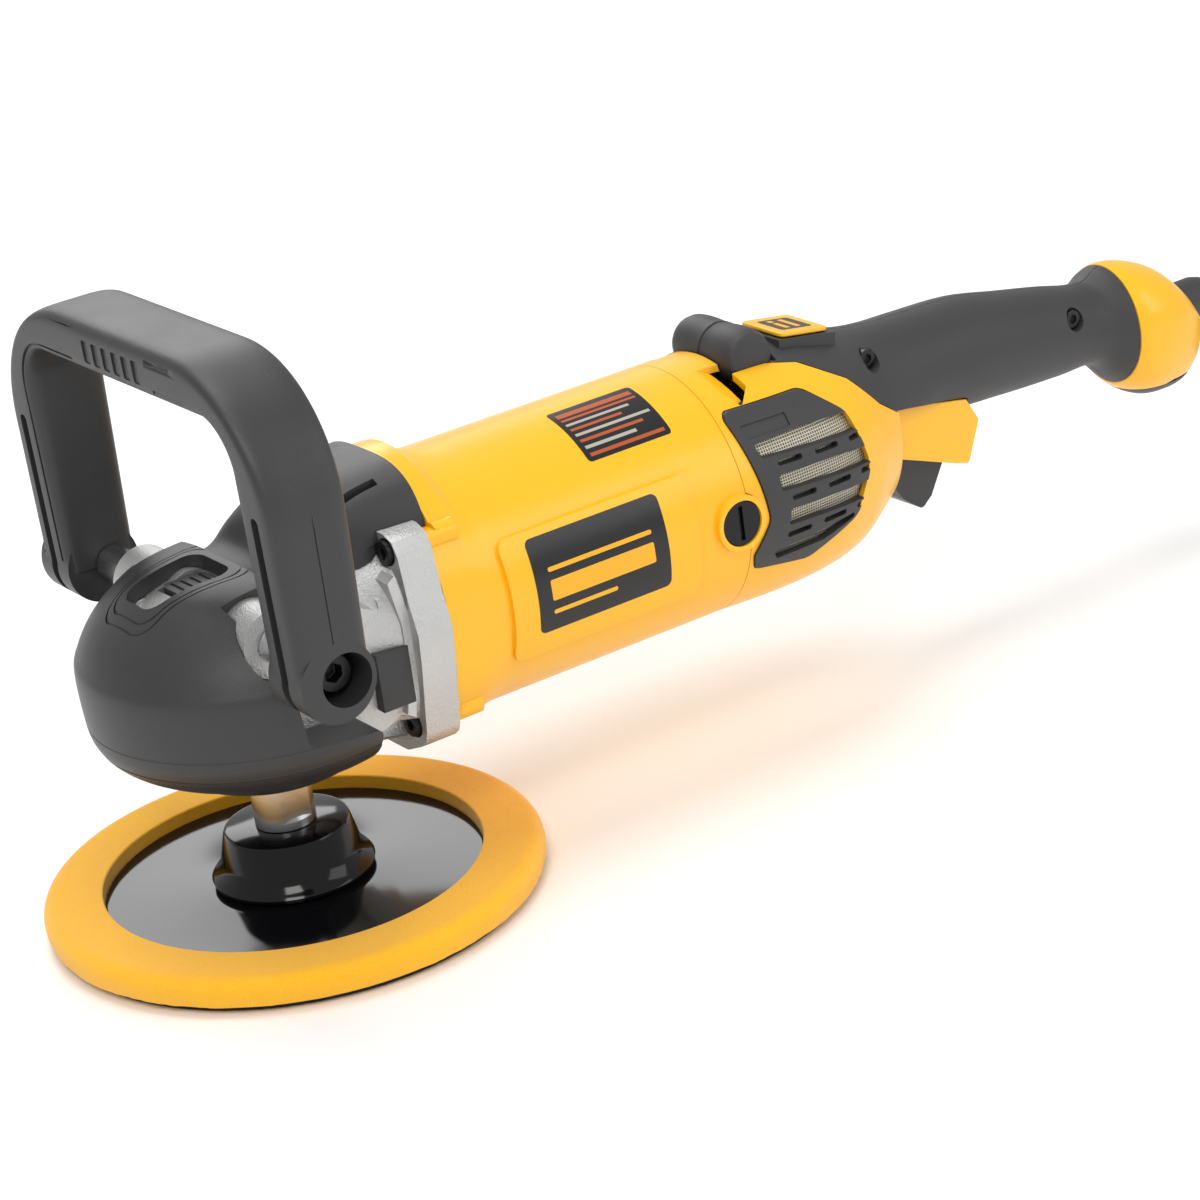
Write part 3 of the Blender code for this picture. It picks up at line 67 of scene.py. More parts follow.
# ---- driving dimensions ---------------------------------------------------------------------
GAP = 0.3 * MM  # left between neighbours that touch
PAD_R = 89.0 * MM
FOAM_TOP = 13.0 * MM
FOAM_FLOOR = 6.3 * MM
FOAM_BASE = 1.5 * MM
HOOK_R = 84.0 * MM
PLATE_R = 67.0 * MM
PLATE_THICK = 2.0 * MM
HUB_TOP = 28.5 * MM
HUB_TOP_R = 23.3 * MM
HUB_BASE_R = 27.0 * MM
THREAD_R = 7.0 * MM
COLLAR_R = 10.8 * MM
COLLAR_TOP = 52.0 * MM
LOWER_BEARING = mm(58.0, 68.0, 16.0)  # from, to, outer radius
AXIS_Z = 95.3 * MM  # height of the motor's axis
BARREL_R = 47.4 * MM
BOOT_SKIN = 6.0 * MM
FLANGE_FRONT = 36.0 * MM
FLANGE_REAR = 49.6 * MM
FLANGE_HALF = mm(50.0, 38.0, 44.0)  # half width, height above the axis, below it
SCREW_AT = mm(37.4, 31.8)
SCREW_R = 2.4 * MM
CASE_FRONT_TOP = 54.0 * MM
SADDLE_STEP = 130.0 * MM  # the field case's top edge under the saddle cover
CASE_STEP = 66.0 * MM
CASE_BARREL = 76.0 * MM
SEAM = 178.0 * MM
BRUSH_X = 173.4 * MM
BRUSH_CAP_R = 8.2 * MM
BRUSH_RING_R = 10.4 * MM
BRUSH_FACE = 49.2 * MM  # the brush boss's outer end, from the middle plane
HANDLE_HALF = 92.0 * MM
HANDLE_INNER = 69.5 * MM
HANDLE_TOP = 217.3 * MM
HANDLE_LOOP_TOP = 199.0 * MM
HANDLE_CORNER = 52.0 * MM
HANDLE_INNER_CORNER = 12.0 * MM
HANDLE_BOLT = mm(-15.0, 113.5)
HANDLE_FOOT_R = 14.0 * MM
HANDLE_FRONT = -31.6 * MM  # front and rear of a leg at its bolt
HANDLE_REAR = -4.4 * MM
HANDLE_FLARE = 0.02  # how fast the bail deepens with height, at its front and at its rear
BOLT_R = 4.0 * MM
BOLT_HEAD_R = 6.5 * MM
BOLT_HEAD_OUT = 83.5 * MM
BOLT_HEAD_TALL = 8.0 * MM
ARM_R = 12.0 * MM
ARM_END = 46.0 * MM
LOCK_X = -18.0 * MM
LOCK_TRAVEL = 3.5 * MM
LOCK_TOP = 121.0 * MM
TAIL_END = 427.0 * MM
CORD_Z = 95.0 * MM
CORD_R = 4.0 * MM
RELIEF_R = 8.4 * MM
RELIEF_END = 474.0 * MM
TRIGGER_PIVOT = mm(270.5, 91.5)
TRIGGER_HALF = 10.5 * MM
TRIGGER_TOP = 96.0 * MM
GUARD_CAVITY = 11.5 * MM
WHEEL_AT = mm(207.0, 141.5)
WHEEL_R = 10.5 * MM
WHEEL_HALF = 19.0 * MM
COIL_CENTRE = mm(620.0, 48.0)
COIL_R = 44.0 * MM  # radius at the middle of its turns
FINE = 144  # facets on a turned piece


# ---- the camera ------------------------------------------------------------------------------
SENSOR = 36.0
LENS = 107.87
VIEW_ANGLES = (-32.06, 22.0, -7.87)  # azimuth, elevation and roll, in degrees
VIEW_TARGET = mm(140.5, 0, 64.1)
VIEW_DISTANCE = 1311.1 * MM


def place_camera():
    """The picture's view: 32 degrees round to the left, 22 above, with a roll of 8."""
    data = bpy.data.cameras.new("camera")
    camera = bpy.data.objects.new("camera", data)
    bpy.context.scene.collection.objects.link(camera)
    bpy.context.scene.camera = camera
    data.sensor_width = SENSOR
    data.lens = LENS
    data.clip_start = 0.05
    azimuth, elevation, roll = (math.radians(a) for a in VIEW_ANGLES)
    target = Vector(VIEW_TARGET)
    back = Vector(
        (
            math.sin(azimuth) * math.cos(elevation),
            -math.cos(azimuth) * math.cos(elevation),
            math.sin(elevation),
        )
    )
    turn = back.to_track_quat("Z", "Y").to_matrix().to_4x4() @ Matrix.Rotation(roll, 4, "Z")
    camera.matrix_world = Matrix.Translation(target + back * VIEW_DISTANCE) @ turn


place_camera()

# ---- materials -------------------------------------------------------------------------------
LOOKS = {}


def look(name, colour, rough, metallic=0.0, grain=None, mottle=0.0, coat=0.0, sheen=0.0, specular=0.5):
    """A Principled material with a fine bumped grain and a slow change of colour and gloss."""
    made = bpy.data.materials.new(name)
    made.use_nodes = True
    tree = made.node_tree
    shader = tree.nodes["Principled BSDF"]
    shader.inputs["Metallic"].default_value = metallic
    shader.inputs["Coat Weight"].default_value = coat
    shader.inputs["Specular IOR Level"].default_value = specular
    shader.inputs["Coat Roughness"].default_value = 0.08
    shader.inputs["Sheen Weight"].default_value = sheen
    where = tree.nodes.new("ShaderNodeTexCoord")
    slow = tree.nodes.new("ShaderNodeTexNoise")
    slow.inputs["Scale"].default_value = 38.0
    slow.inputs["Detail"].default_value = 4.0
    tree.links.new(where.outputs["Object"], slow.inputs["Vector"])
    tint = tree.nodes.new("ShaderNodeMix")
    tint.data_type = "RGBA"
    tint.inputs[6].default_value = (*[c * (1 - mottle) for c in colour], 1)
    tint.inputs[7].default_value = (*[min(1.0, c * (1 + mottle)) for c in colour], 1)
    tree.links.new(slow.outputs["Fac"], tint.inputs["Factor"])
    tree.links.new(tint.outputs[2], shader.inputs["Base Color"])
    gloss = tree.nodes.new("ShaderNodeMapRange")
    gloss.inputs["To Min"].default_value = rough * 0.88
    gloss.inputs["To Max"].default_value = min(1.0, rough * 1.12)
    tree.links.new(slow.outputs["Fac"], gloss.inputs["Value"])
    tree.links.new(gloss.outputs["Result"], shader.inputs["Roughness"])
    if grain:
        scale, strength, depth = grain
        fine = tree.nodes.new("ShaderNodeTexNoise")
        fine.inputs["Scale"].default_value = scale
        fine.inputs["Detail"].default_value = 3.0
        bump = tree.nodes.new("ShaderNodeBump")
        bump.inputs["Strength"].default_value = strength
        bump.inputs["Distance"].default_value = depth
        tree.links.new(where.outputs["Object"], fine.inputs["Vector"])
        tree.links.new(fine.outputs["Fac"], bump.inputs["Height"])
        tree.links.new(bump.outputs["Normal"], shader.inputs["Normal"])
    LOOKS[name] = made
    return made


def weave(name, colour):
    """Wire cloth: two sets of bands crossed, with dark holes between."""
    made = look(name, colour, 0.45, 0.5)
    tree = made.node_tree
    shader = tree.nodes["Principled BSDF"]
    where = tree.nodes["Texture Coordinate"]
    bands = []
    for way in ("X", "Z"):
        wave = tree.nodes.new("ShaderNodeTexWave")
        wave.bands_direction = way
        wave.inputs["Scale"].default_value = 290.0
        wave.inputs["Distortion"].default_value = 0.0
        tree.links.new(where.outputs["Object"], wave.inputs["Vector"])
        bands.append(wave)
    cross = tree.nodes.new("ShaderNodeMath")
    cross.operation = "MAXIMUM"
    tree.links.new(bands[0].outputs["Fac"], cross.inputs[0])
    tree.links.new(bands[1].outputs["Fac"], cross.inputs[1])
    ramp = tree.nodes.new("ShaderNodeMapRange")
    ramp.inputs["From Min"].default_value = 0.45
    ramp.inputs["From Max"].default_value = 0.8
    tree.links.new(cross.outputs["Value"], ramp.inputs["Value"])
    tint = tree.nodes.new("ShaderNodeMix")
    tint.data_type = "RGBA"
    tint.inputs[6].default_value = (0.12, 0.11, 0.09, 1)
    tint.inputs[7].default_value = (*colour, 1)
    tree.links.new(ramp.outputs["Result"], tint.inputs["Factor"])
    tree.links.new(tint.outputs[2], shader.inputs["Base Color"])
    bump = tree.nodes.new("ShaderNodeBump")
    bump.inputs["Strength"].default_value = 0.8
    bump.inputs["Distance"].default_value = 0.0004
    tree.links.new(cross.outputs["Value"], bump.inputs["Height"])
    tree.links.new(bump.outputs["Normal"], shader.inputs["Normal"])
    return made


YELLOW = look("yellow_nylon", (0.94, 0.47, 0.004), 0.34, grain=(2600, 0.1, 0.0003), mottle=0.02, coat=0.15)
BLACK = look("black_nylon", (0.028, 0.028, 0.029), 0.42, grain=(3000, 0.35, 0.0003), mottle=0.12)
RUBBER = look("soft_grip", (0.032, 0.032, 0.034), 0.5, grain=(3400, 0.4, 0.0003), mottle=0.12)
GLOSS = look("gloss_black", (0.004, 0.004, 0.005), 0.1, grain=(400, 0.02, 0.0002), mottle=0.1, specular=0.3)
FOAM = look("pad_foam", (0.94, 0.47, 0.008), 0.92, grain=(1500, 0.7, 0.0006), mottle=0.05, sheen=0.25)
HOOKS = look("hook_fabric", (0.02, 0.02, 0.02), 0.95, grain=(2500, 1.0, 0.0008), mottle=0.3)
CAST = look("cast_aluminium", (0.56, 0.56, 0.555), 0.46, 0.85, grain=(1300, 0.75, 0.0005), mottle=0.14)
STEEL = look("turned_steel", (0.62, 0.62, 0.63), 0.22, 1.0, grain=(700, 0.08, 0.0002), mottle=0.05)
DARK_STEEL = look("black_oxide", (0.02, 0.02, 0.021), 0.3, 0.6, grain=(2000, 0.1, 0.0002), mottle=0.2)
LABEL = look("label_black", (0.006, 0.006, 0.006), 0.3, mottle=0.05)
PRINT = look("label_print", (0.9, 0.42, 0.008), 0.35, mottle=0.03)
RED_PRINT = look("warning_print", (0.42, 0.075, 0.012), 0.4, mottle=0.05)
GREY_PRINT = look("grey_print", (0.4, 0.38, 0.33), 0.4, mottle=0.05)
PVC = look("cord_pvc", (0.022, 0.022, 0.023), 0.45, grain=(1800, 0.2, 0.0002), mottle=0.1)
BRASS = look("plug_brass", (0.75, 0.6, 0.3), 0.25, 1.0, grain=(700, 0.08, 0.0002), mottle=0.05)
MESH = weave("intake_mesh", (0.74, 0.69, 0.55))


# ---- modelling helpers -----------------------------------------------------------------------
def finish(name, mesh, look_of, smooth=True):
    if look_of is not None and name in frame["nodes"]:
        name += "_look"
    thing = bpy.data.objects.new(name, mesh)
    bpy.context.scene.collection.objects.link(thing)
    if look_of is None:
        thing.hide_render = True
        thing.display_type = "WIRE"
        CUTTERS.append(thing)
    else:
        mesh.materials.append(look_of)
    return thing


CUTTERS = []


def from_bmesh(name, shape, look, smooth=True):
    bmesh.ops.recalc_face_normals(shape, faces=shape.faces)
    mesh = bpy.data.meshes.new(name)
    shape.to_mesh(mesh)
    shape.free()
    return finish(name, mesh, look, smooth)


def box(name, low, high, look=None):
    shape = bmesh.new()
    bmesh.ops.create_cube(shape, size=1.0)
    low, high = Vector(low), Vector(high)
    for corner in shape.verts:
        corner.co = Vector(low[i] + (high[i] - low[i]) * (corner.co[i] + 0.5) for i in range(3))
    return from_bmesh(name, shape, look, smooth=False)


def towards(axis):
    """The rotation that takes +Z to this axis, with the facets of every round piece in step."""
    turns = {
        "z": Matrix.Identity(4),
        "x": Matrix.Rotation(math.radians(90), 4, "Y"),
        "y": Matrix.Rotation(math.radians(-90), 4, "X"),
    }
    return turns[axis]


def rod(name, start, length, radius, axis, look=None, sides=64, end_radius=None):
    """A cylinder or cone from start, along +axis."""
    shape = bmesh.new()
    place = Matrix.Translation(Vector(start)) @ towards(axis) @ Matrix.Translation((0, 0, length / 2))
    bmesh.ops.create_cone(
        shape,
        cap_ends=True,
        segments=sides,
        radius1=radius,
        radius2=radius if end_radius is None else end_radius,
        depth=length,
        matrix=place,
    )
    return from_bmesh(name, shape, look)


def turned(name, profile, look=None, axis="z", at=(0, 0, 0), steps=FINE, closed=False):
    """A turned solid from (radius, height) points that run down the outer side, top to bottom."""
    mesh = bpy.data.meshes.new(name)
    points = [(r, 0.0, h) for r, h in profile]
    edges = [(i, i + 1) for i in range(len(points) - 1)]
    if closed:
        edges.append((len(points) - 1, 0))
    mesh.from_pydata(points, edges, [])
    thing = finish(name, mesh, look, smooth=False)
    thing.matrix_world = Matrix.Translation(at) @ towards(axis)
    screw = thing.modifiers.new("turn", "SCREW")
    screw.axis = "Z"
    screw.steps = steps
    screw.render_steps = steps
    screw.use_merge_vertices = True
    screw.merge_threshold = 0.00001
    screw.use_smooth_shade = True
    return thing


def ring(name, inner, outer, low, high, look=None, axis="z", at=(0, 0, 0), steps=FINE):
    profile = [(inner, high), (outer, high), (outer, low), (inner, low)]
    return turned(name, profile, look, axis, at, steps, closed=True)


def prism(name, outline, axis, low, high, look=None, smooth=True):
    """An outline pushed from low to high along an axis. x takes (y, z) points and y takes (x, z)."""
    shape = bmesh.new()
    lay = {
        "x": lambda p: (low, p[0], p[1]),
        "y": lambda p: (p[0], low, p[1]),
        "z": lambda p: (p[0], p[1], low),
    }
    face = shape.faces.new([shape.verts.new(lay[axis](p)) for p in outline])
    pushed = bmesh.ops.extrude_face_region(shape, geom=[face])
    step = Vector([high - low if letter == axis else 0.0 for letter in "xyz"])
    moved = [e for e in pushed["geom"] if isinstance(e, bmesh.types.BMVert)]
    bmesh.ops.translate(shape, verts=moved, vec=step)
    return from_bmesh(name, shape, look, smooth)


def arc(centre, radius, start, stop, steps=8):
    """Points on an arc, in degrees."""
    found = []
    for i in range(steps + 1):
        angle = math.radians(start + (stop - start) * i / steps)
        found.append((centre[0] + radius * math.cos(angle), centre[1] + radius * math.sin(angle)))
    return found


def rounded(corners, radius, steps=6):
    """A closed outline with every corner rounded to one radius, or to a radius of its own."""
    found = []
    count = len(corners)
    radii = radius if isinstance(radius, (list, tuple)) else [radius] * count
    for i in range(count):
        here = Vector(corners[i])
        before = (Vector(corners[i - 1]) - here).normalized()
        after = (Vector(corners[(i + 1) % count]) - here).normalized()
        half = before.angle(after) / 2
        back = radii[i] / math.tan(half)
        middle = here + (before + after).normalized() * radii[i] / math.sin(half)
        first = here + before * back - middle
        last = here + after * back - middle
        for k in range(steps + 1):
            turn = first.lerp(last, k / steps).normalized() * radii[i]
            found.append(tuple(middle + turn))
    return found


def egg(x, middle, half_width, above, below, power_above=2.0, power_below=2.0, points=96):
    """A closed section across X: two half superellipses that share one width."""
    found = []
    for i in range(points):
        angle = 2 * math.pi * i / points
        c, s = math.cos(angle), math.sin(angle)
        power, height = (power_above, above) if s >= 0 else (power_below, below)
        y = half_width * math.copysign(abs(c) ** (2 / power), c)
        z = height * math.copysign(abs(s) ** (2 / power), s)
        found.append(Vector((x, y, middle + z)))
    return found


def skin(name, sections, look=None):
    """A solid lofted through sections of one point count, with flat ends."""
    shape = bmesh.new()
    loops = [[shape.verts.new(p) for p in section] for section in sections]
    count = len(loops[0])
    for a, b in zip(loops, loops[1:]):
        for i in range(count):
            j = (i + 1) % count
            shape.faces.new((a[i], a[j], b[j], b[i]))
    shape.faces.new(loops[0][::-1])
    shape.faces.new(loops[-1])
    return from_bmesh(name, shape, look)


def boolean(thing, other, kind):
    step = thing.modifiers.new(kind.lower() + "_" + other.name, "BOOLEAN")
    step.operation = kind
    step.solver = "EXACT"
    step.object = other


def cut(thing, *others):
    for other in others:
        boolean(thing, other, "DIFFERENCE")


def join(thing, *others):
    for other in others:
        boolean(thing, other, "UNION")


def keep(thing, *others):
    for other in others:
        boolean(thing, other, "INTERSECT")


def spread(rows, count):
    """More rows of numbers between the given ones, on a smooth curve through all of them."""
    found = []
    for i in range(len(rows) - 1):
        a, b = rows[i], rows[i + 1]
        before = rows[max(i - 1, 0)]
        after = rows[min(i + 2, len(rows) - 1)]
        for k in range(count):
            t = k / count
            row = []
            for p, q, r, s in zip(before, a, b, after):
                m0, m1 = (r - p) / 2, (s - q) / 2
                row.append(
                    (2 * t**3 - 3 * t**2 + 1) * q
                    + (t**3 - 2 * t**2 + t) * m0
                    + (3 * t**2 - 2 * t**3) * r
                    + (t**3 - t**2) * m1
                )
            found.append(tuple(row))
    found.append(tuple(rows[-1]))
    return found


def settle(thing, width=0.0, angle=32, segments=3):
    """Applies the Booleans, rounds the edges that are left, and shades the piece smooth."""
    bpy.context.view_layer.update()
    graph = bpy.context.evaluated_depsgraph_get()
    mesh = bpy.data.meshes.new_from_object(thing.evaluated_get(graph))
    thing.modifiers.clear()
    thing.data = mesh
    shape = bmesh.new()
    shape.from_mesh(mesh)
    bmesh.ops.transform(shape, matrix=thing.matrix_world, verts=shape.verts)
    thing.matrix_world = Matrix.Identity(4)
    bmesh.ops.remove_doubles(shape, verts=shape.verts, dist=0.01 * MM)
    bmesh.ops.dissolve_degenerate(shape, edges=shape.edges, dist=0.01 * MM)
    shape.to_mesh(mesh)
    shape.free()
    if width:
        bevel = thing.modifiers.new("rounding", "BEVEL")
        bevel.width = width
        bevel.segments = segments
        bevel.limit_method = "ANGLE"
        bevel.angle_limit = math.radians(angle)
        bevel.use_clamp_overlap = True
        bevel.harden_normals = False
    mesh.shade_smooth()
    mesh.set_sharp_from_angle(angle=math.radians(38 if not width else 60))
    return thing


def show(thing, body, *nodes, slot=None):
    """The piece rides the body and stands for these CAD nodes."""
    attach(thing, body)
    if nodes:
        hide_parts(*nodes)
    return thing


# ---- shapes shared with the CAD --------------------------------------------------------------
HEAD_OUTER = spots(
    (18, 129.5), (30, 128.2), (40, 125), (49, 118), (55.3, 111.3), (60, 103.5), (61.9, 97),
    (61.2, 79), (59.2, 72), (55.5, 67.2), (49, 62.6), (40, 58), (31, 53), (23, 49.5), (14, 48),
)
CASE_HALF = 41.0 * MM  # half width of the case beside the handle's arms


def head_profile(shrink):
    """The head's outline moved inwards, closed at the axis."""
    middle = mm(0, 86)
    found = [(0.0, HEAD_OUTER[0][1] - shrink)]
    for r, z in HEAD_OUTER:
        away = Vector((r - middle[0], z - middle[1]))
        away = away - away.normalized() * shrink
        found.append((away.x, middle[1] + away.y))
    found.append((0.0, found[-1][1]))
    return found


def case_outside(name, grow, look=None):
    """The case's outside, grown by a gap where it serves as a neighbour's cutter."""
    head = turned(name, head_profile(BOOT_SKIN - grow), look, steps=FINE)
    keep(head, box(name + "_sides", (-90 * MM, -CASE_HALF - grow, 0), (70 * MM, CASE_HALF + grow, 160 * MM)))
    sections = []
    for x, half, above, below in ((-4, 39, 29, 38), (14, 40, 30, 39), (28, 43, 33, 41), (37, 45.5, 36, 42)):
        size = [side * MM + grow for side in (half, above, below)]
        sections.append(egg(x * MM, AXIS_Z, *size, 3.0, 3.4, 96))
    join(head, skin(name + "_neck", sections))
    half, above, below = FLANGE_HALF
    corners = [
        (half, AXIS_Z + 4 * MM),
        (half * 0.93, AXIS_Z + 16 * MM),
        (half * 0.86, AXIS_Z + above),
        (-half * 0.86, AXIS_Z + above),
        (-half * 0.93, AXIS_Z + 16 * MM),
        (-half, AXIS_Z + 4 * MM),
        (-half * 0.98, AXIS_Z - 8 * MM),
        (-half * 0.89, AXIS_Z - above),
        (-half * 0.6, AXIS_Z - below),
        (half * 0.6, AXIS_Z - below),
        (half * 0.89, AXIS_Z - above),
        (half * 0.98, AXIS_Z - 8 * MM),
    ]
    radii = [6, 8, 8, 8, 8, 6, 8, 8, 6, 6, 8, 8]
    outline = rounded(corners, [r * MM for r in radii], 2)
    stretch = (half + grow) / half
    outline = [(y * stretch, AXIS_Z + (z - AXIS_Z) * stretch) for y, z in outline]
    join(head, prism(name + "_flange", outline, "x", FLANGE_FRONT - grow, FLANGE_REAR + grow))
    x, z = HANDLE_BOLT
    arm = ARM_END + grow
    join(head, rod(name + "_arms", (x, -arm, z), 2 * arm, ARM_R + grow, "y", None, 96))
    return head


def case_screws():
    for side in (-1, 1):
        for up in (-1, 1):
            yield side * SCREW_AT[0], AXIS_Z + up * SCREW_AT[1]


def handle_stations():
    """Pairs of outer and inner (y, z) points round the D, from the left foot to the right."""
    straight = HANDLE_TOP - HANDLE_CORNER
    pairs = []
    for z in (HANDLE_BOLT[1], 130 * MM, 148 * MM, straight - 1 * MM):
        pairs.append(((HANDLE_HALF, z), (HANDLE_INNER, z)))
    outer = arc((HANDLE_HALF - HANDLE_CORNER, straight), HANDLE_CORNER, 0, 90, 20)
    centre = (HANDLE_INNER - HANDLE_INNER_CORNER, HANDLE_LOOP_TOP - HANDLE_INNER_CORNER)
    inner = arc(centre, HANDLE_INNER_CORNER, 0, 90, 20)
    pairs += list(zip(outer, inner))
    pairs.append(((24 * MM, HANDLE_TOP), (24 * MM, HANDLE_LOOP_TOP)))
    left = [((-a[0], a[1]), (-b[0], b[1])) for a, b in pairs]
    return left + pairs[::-1]


def handle_section(outer, inner, power=4.7, points=72):
    outer, inner = Vector(outer), Vector(inner)
    middle = (outer + inner) / 2
    reach = (outer - inner) / 2
    found = []
    for i in range(points):
        angle = 2 * math.pi * (i + 0.5) / points
        c, s = math.cos(angle), math.sin(angle)
        across = math.copysign(abs(c) ** (2 / power), c)
        along = math.copysign(abs(s) ** (2 / power), s)
        place = middle + reach * across
        rise = place.y - HANDLE_BOLT[1]
        front = HANDLE_FRONT - HANDLE_FLARE * rise
        rear = HANDLE_REAR + HANDLE_FLARE * rise
        found.append(Vector(((front + rear) / 2 + (rear - front) / 2 * along, place.x, place.y)))
    return found


def field_sections(shrink):
    sections = []
    stations = (
        (FLANGE_REAR + GAP, 48.5, 55.0, 43.5, 2.0, 2.8),
        (62 * MM, 48.0, 55.0, 43.5, 2.0, 2.8),
        (CASE_STEP + 1 * MM, 47.6, 49.5, 44.5, 2.0, 2.6),
        (CASE_BARREL, BARREL_R / MM, BARREL_R / MM, BARREL_R / MM, 2.0, 2.0),
        (SEAM - GAP / 2, BARREL_R / MM, BARREL_R / MM, BARREL_R / MM, 2.0, 2.0),
    )
    for i, (x, half, above, below, upper, lower) in enumerate(stations):
        if shrink and i == 0:
            x -= 5 * MM
        if shrink and i == len(stations) - 1:
            x += 5 * MM
        size = [side * MM - shrink for side in (half, above, below)]
        sections.append(egg(x, AXIS_Z, *size, upper, lower, 144))
    return sections


def rear_sections(shrink, last=99):
    """The outline behind the seam: motor tail, neck, grip and the flared end."""
    stations = (
        (SEAM + GAP / 2, AXIS_Z, BARREL_R, BARREL_R, BARREL_R),
        (204 * MM, AXIS_Z, BARREL_R, BARREL_R, 48.3 * MM),
        (226 * MM, AXIS_Z, 45.5 * MM, 46 * MM, 47.5 * MM),
        (243 * MM, AXIS_Z, 40 * MM, 42.5 * MM, 45 * MM),
        (255 * MM, AXIS_Z, 33.5 * MM, 39.8 * MM, 39 * MM),
        mm(264, 97, 28.5, 36.2, 35.5),
        mm(275, 102, 24.5, 30, 27),
        mm(291, 109, 21.8, 22.4, 21),
        mm(317, 108.7, 21.3, 21.5, 21.5),
        mm(340, 105.8, 19.7, 19.9, 19.9),
        mm(360, 103.4, 18, 18.3, 18.3),
        mm(379, 101, 16.4, 16.6, 16.4),
        mm(388, 98, 19.5, 23.2, 21.5),
        mm(395, 96, 23.5, 26, 26.5),
        mm(404, 95.3, 24, 24.8, 30.5),
        mm(414, 95, 22.5, 20.5, 31.5),
        mm(422, 94, 19.5, 14, 30),
        (TAIL_END, 92 * MM, 16.5 * MM, 7 * MM, 25 * MM),
    )
    sections = []
    for i, (x, middle, half, above, below) in enumerate(spread(stations[:last], 5)):
        if shrink and i == 0:
            x -= 5 * MM
        size = [side - shrink for side in (half, above, below)]
        sections.append(egg(x, middle, *size, 2.0, 2.0, 144))
    return sections


def brush_boss(name, side, look=None):
    low, high = sorted((side * 20 * MM, side * BRUSH_FACE))
    return rod(name, (BRUSH_X, low, AXIS_Z), high - low, BRUSH_RING_R, "y", look, 96)


def lint_outline(grow):
    corners = spots(
        (185, 106),
        (187, 92),
        (179.5, 80),
        (180.5, 74),
        (206, 69.5),
        (229, 79.5),
        (237.5, 97),
        (231.5, 118),
        (217, 130),
        (180.5, 131),
    )
    middle = Vector(mm(208, 101))
    moved = [Vector(c) + (Vector(c) - middle).normalized() * grow for c in corners]
    return rounded([tuple(m) for m in moved], [4 * MM, 8 * MM] + [3 * MM] * 2 + [9 * MM] * 5 + [3 * MM], 8)


def housing_divide(name, grow=0.0):
    """Everything that belongs to the black grip: an outline seen from the side."""
    corners = [
        (197 * MM - grow, 175 * MM),
        (197 * MM - grow, 141 * MM - grow),
        (212 * MM, 138.5 * MM - grow),
        (224 * MM, 136 * MM - grow),
        (241 * MM - 0.7 * grow, 126 * MM - 0.7 * grow),
        (253 * MM - 0.8 * grow, 113 * MM - 0.6 * grow),
        (263 * MM - grow, 106 * MM - grow),
        (306 * MM, 96 * MM - grow),
        (313 * MM, 84 * MM - grow),
        mm(330, 60),
        mm(391, 28),
        mm(391, 175),
    ]
    return prism(name, rounded(corners, 3.5 * MM, 6), "y", -80 * MM, 80 * MM)


# ---- the cord --------------------------------------------------------------------------------
CORD_ROUTE = (
    (474.5, 0, 95),
    (484, 0, 95),
    (492, 0, 94.2),
    (501, 0, 91.6),
    (509.5, 0, 87.2),
    (517, 0, 81),
    (523, 0, 73),
    (527.2, 0, 63.5),
    (529.5, 0, 53.5),
    (531.5, 0, 43),
    (535.3, 0, 33),
    (541, 0, 24),
    (548.5, 0, 16.2),
    (557.5, 0, 10),
    (567.5, 0, 5.8),
    (577.5, 0, 4.2),
    (585, 0, 4.1),
)


def cord_path():
    """The cord's centreline: down from the tail, then round a loose coil and off to the plug."""
    path = [tuple(side * MM for side in place) for place in CORD_ROUTE]
    path += spots((597, -3.4, 4.1), (609, -4.0, 4.1))
    turns = (
        (52, 4.1), (44, 4.1), (36, 4.1), (36, 12.1), (44, 12.1),
        (44, 20.1), (36, 20.1), (44, 28.1), (52, 20.1), (52, 12.1),
    )
    steps = 40
    x, y = COIL_CENTRE
    for i, (r, z) in enumerate(turns):
        last = i == len(turns) - 1
        following = turns[i] if last else turns[i + 1]
        for k in range(steps if not last else steps // 4 + 1):
            t = max(0.0, (k / steps - 0.8) / 0.2)
            t = t * t * (3 - 2 * t)
            radius = (r + (following[0] - r) * t) * MM
            height = (z + (following[1] - z) * t) * MM
            angle = math.radians(-90 + 360 * k / steps)
            path.append((x + radius * math.cos(angle), y + radius * math.sin(angle), height))
    path += spots((671.6, 62, 12.4), (669.4, 76, 12.8))
    path += spots((668, 88, 13), (668, 92, 13))
    return path


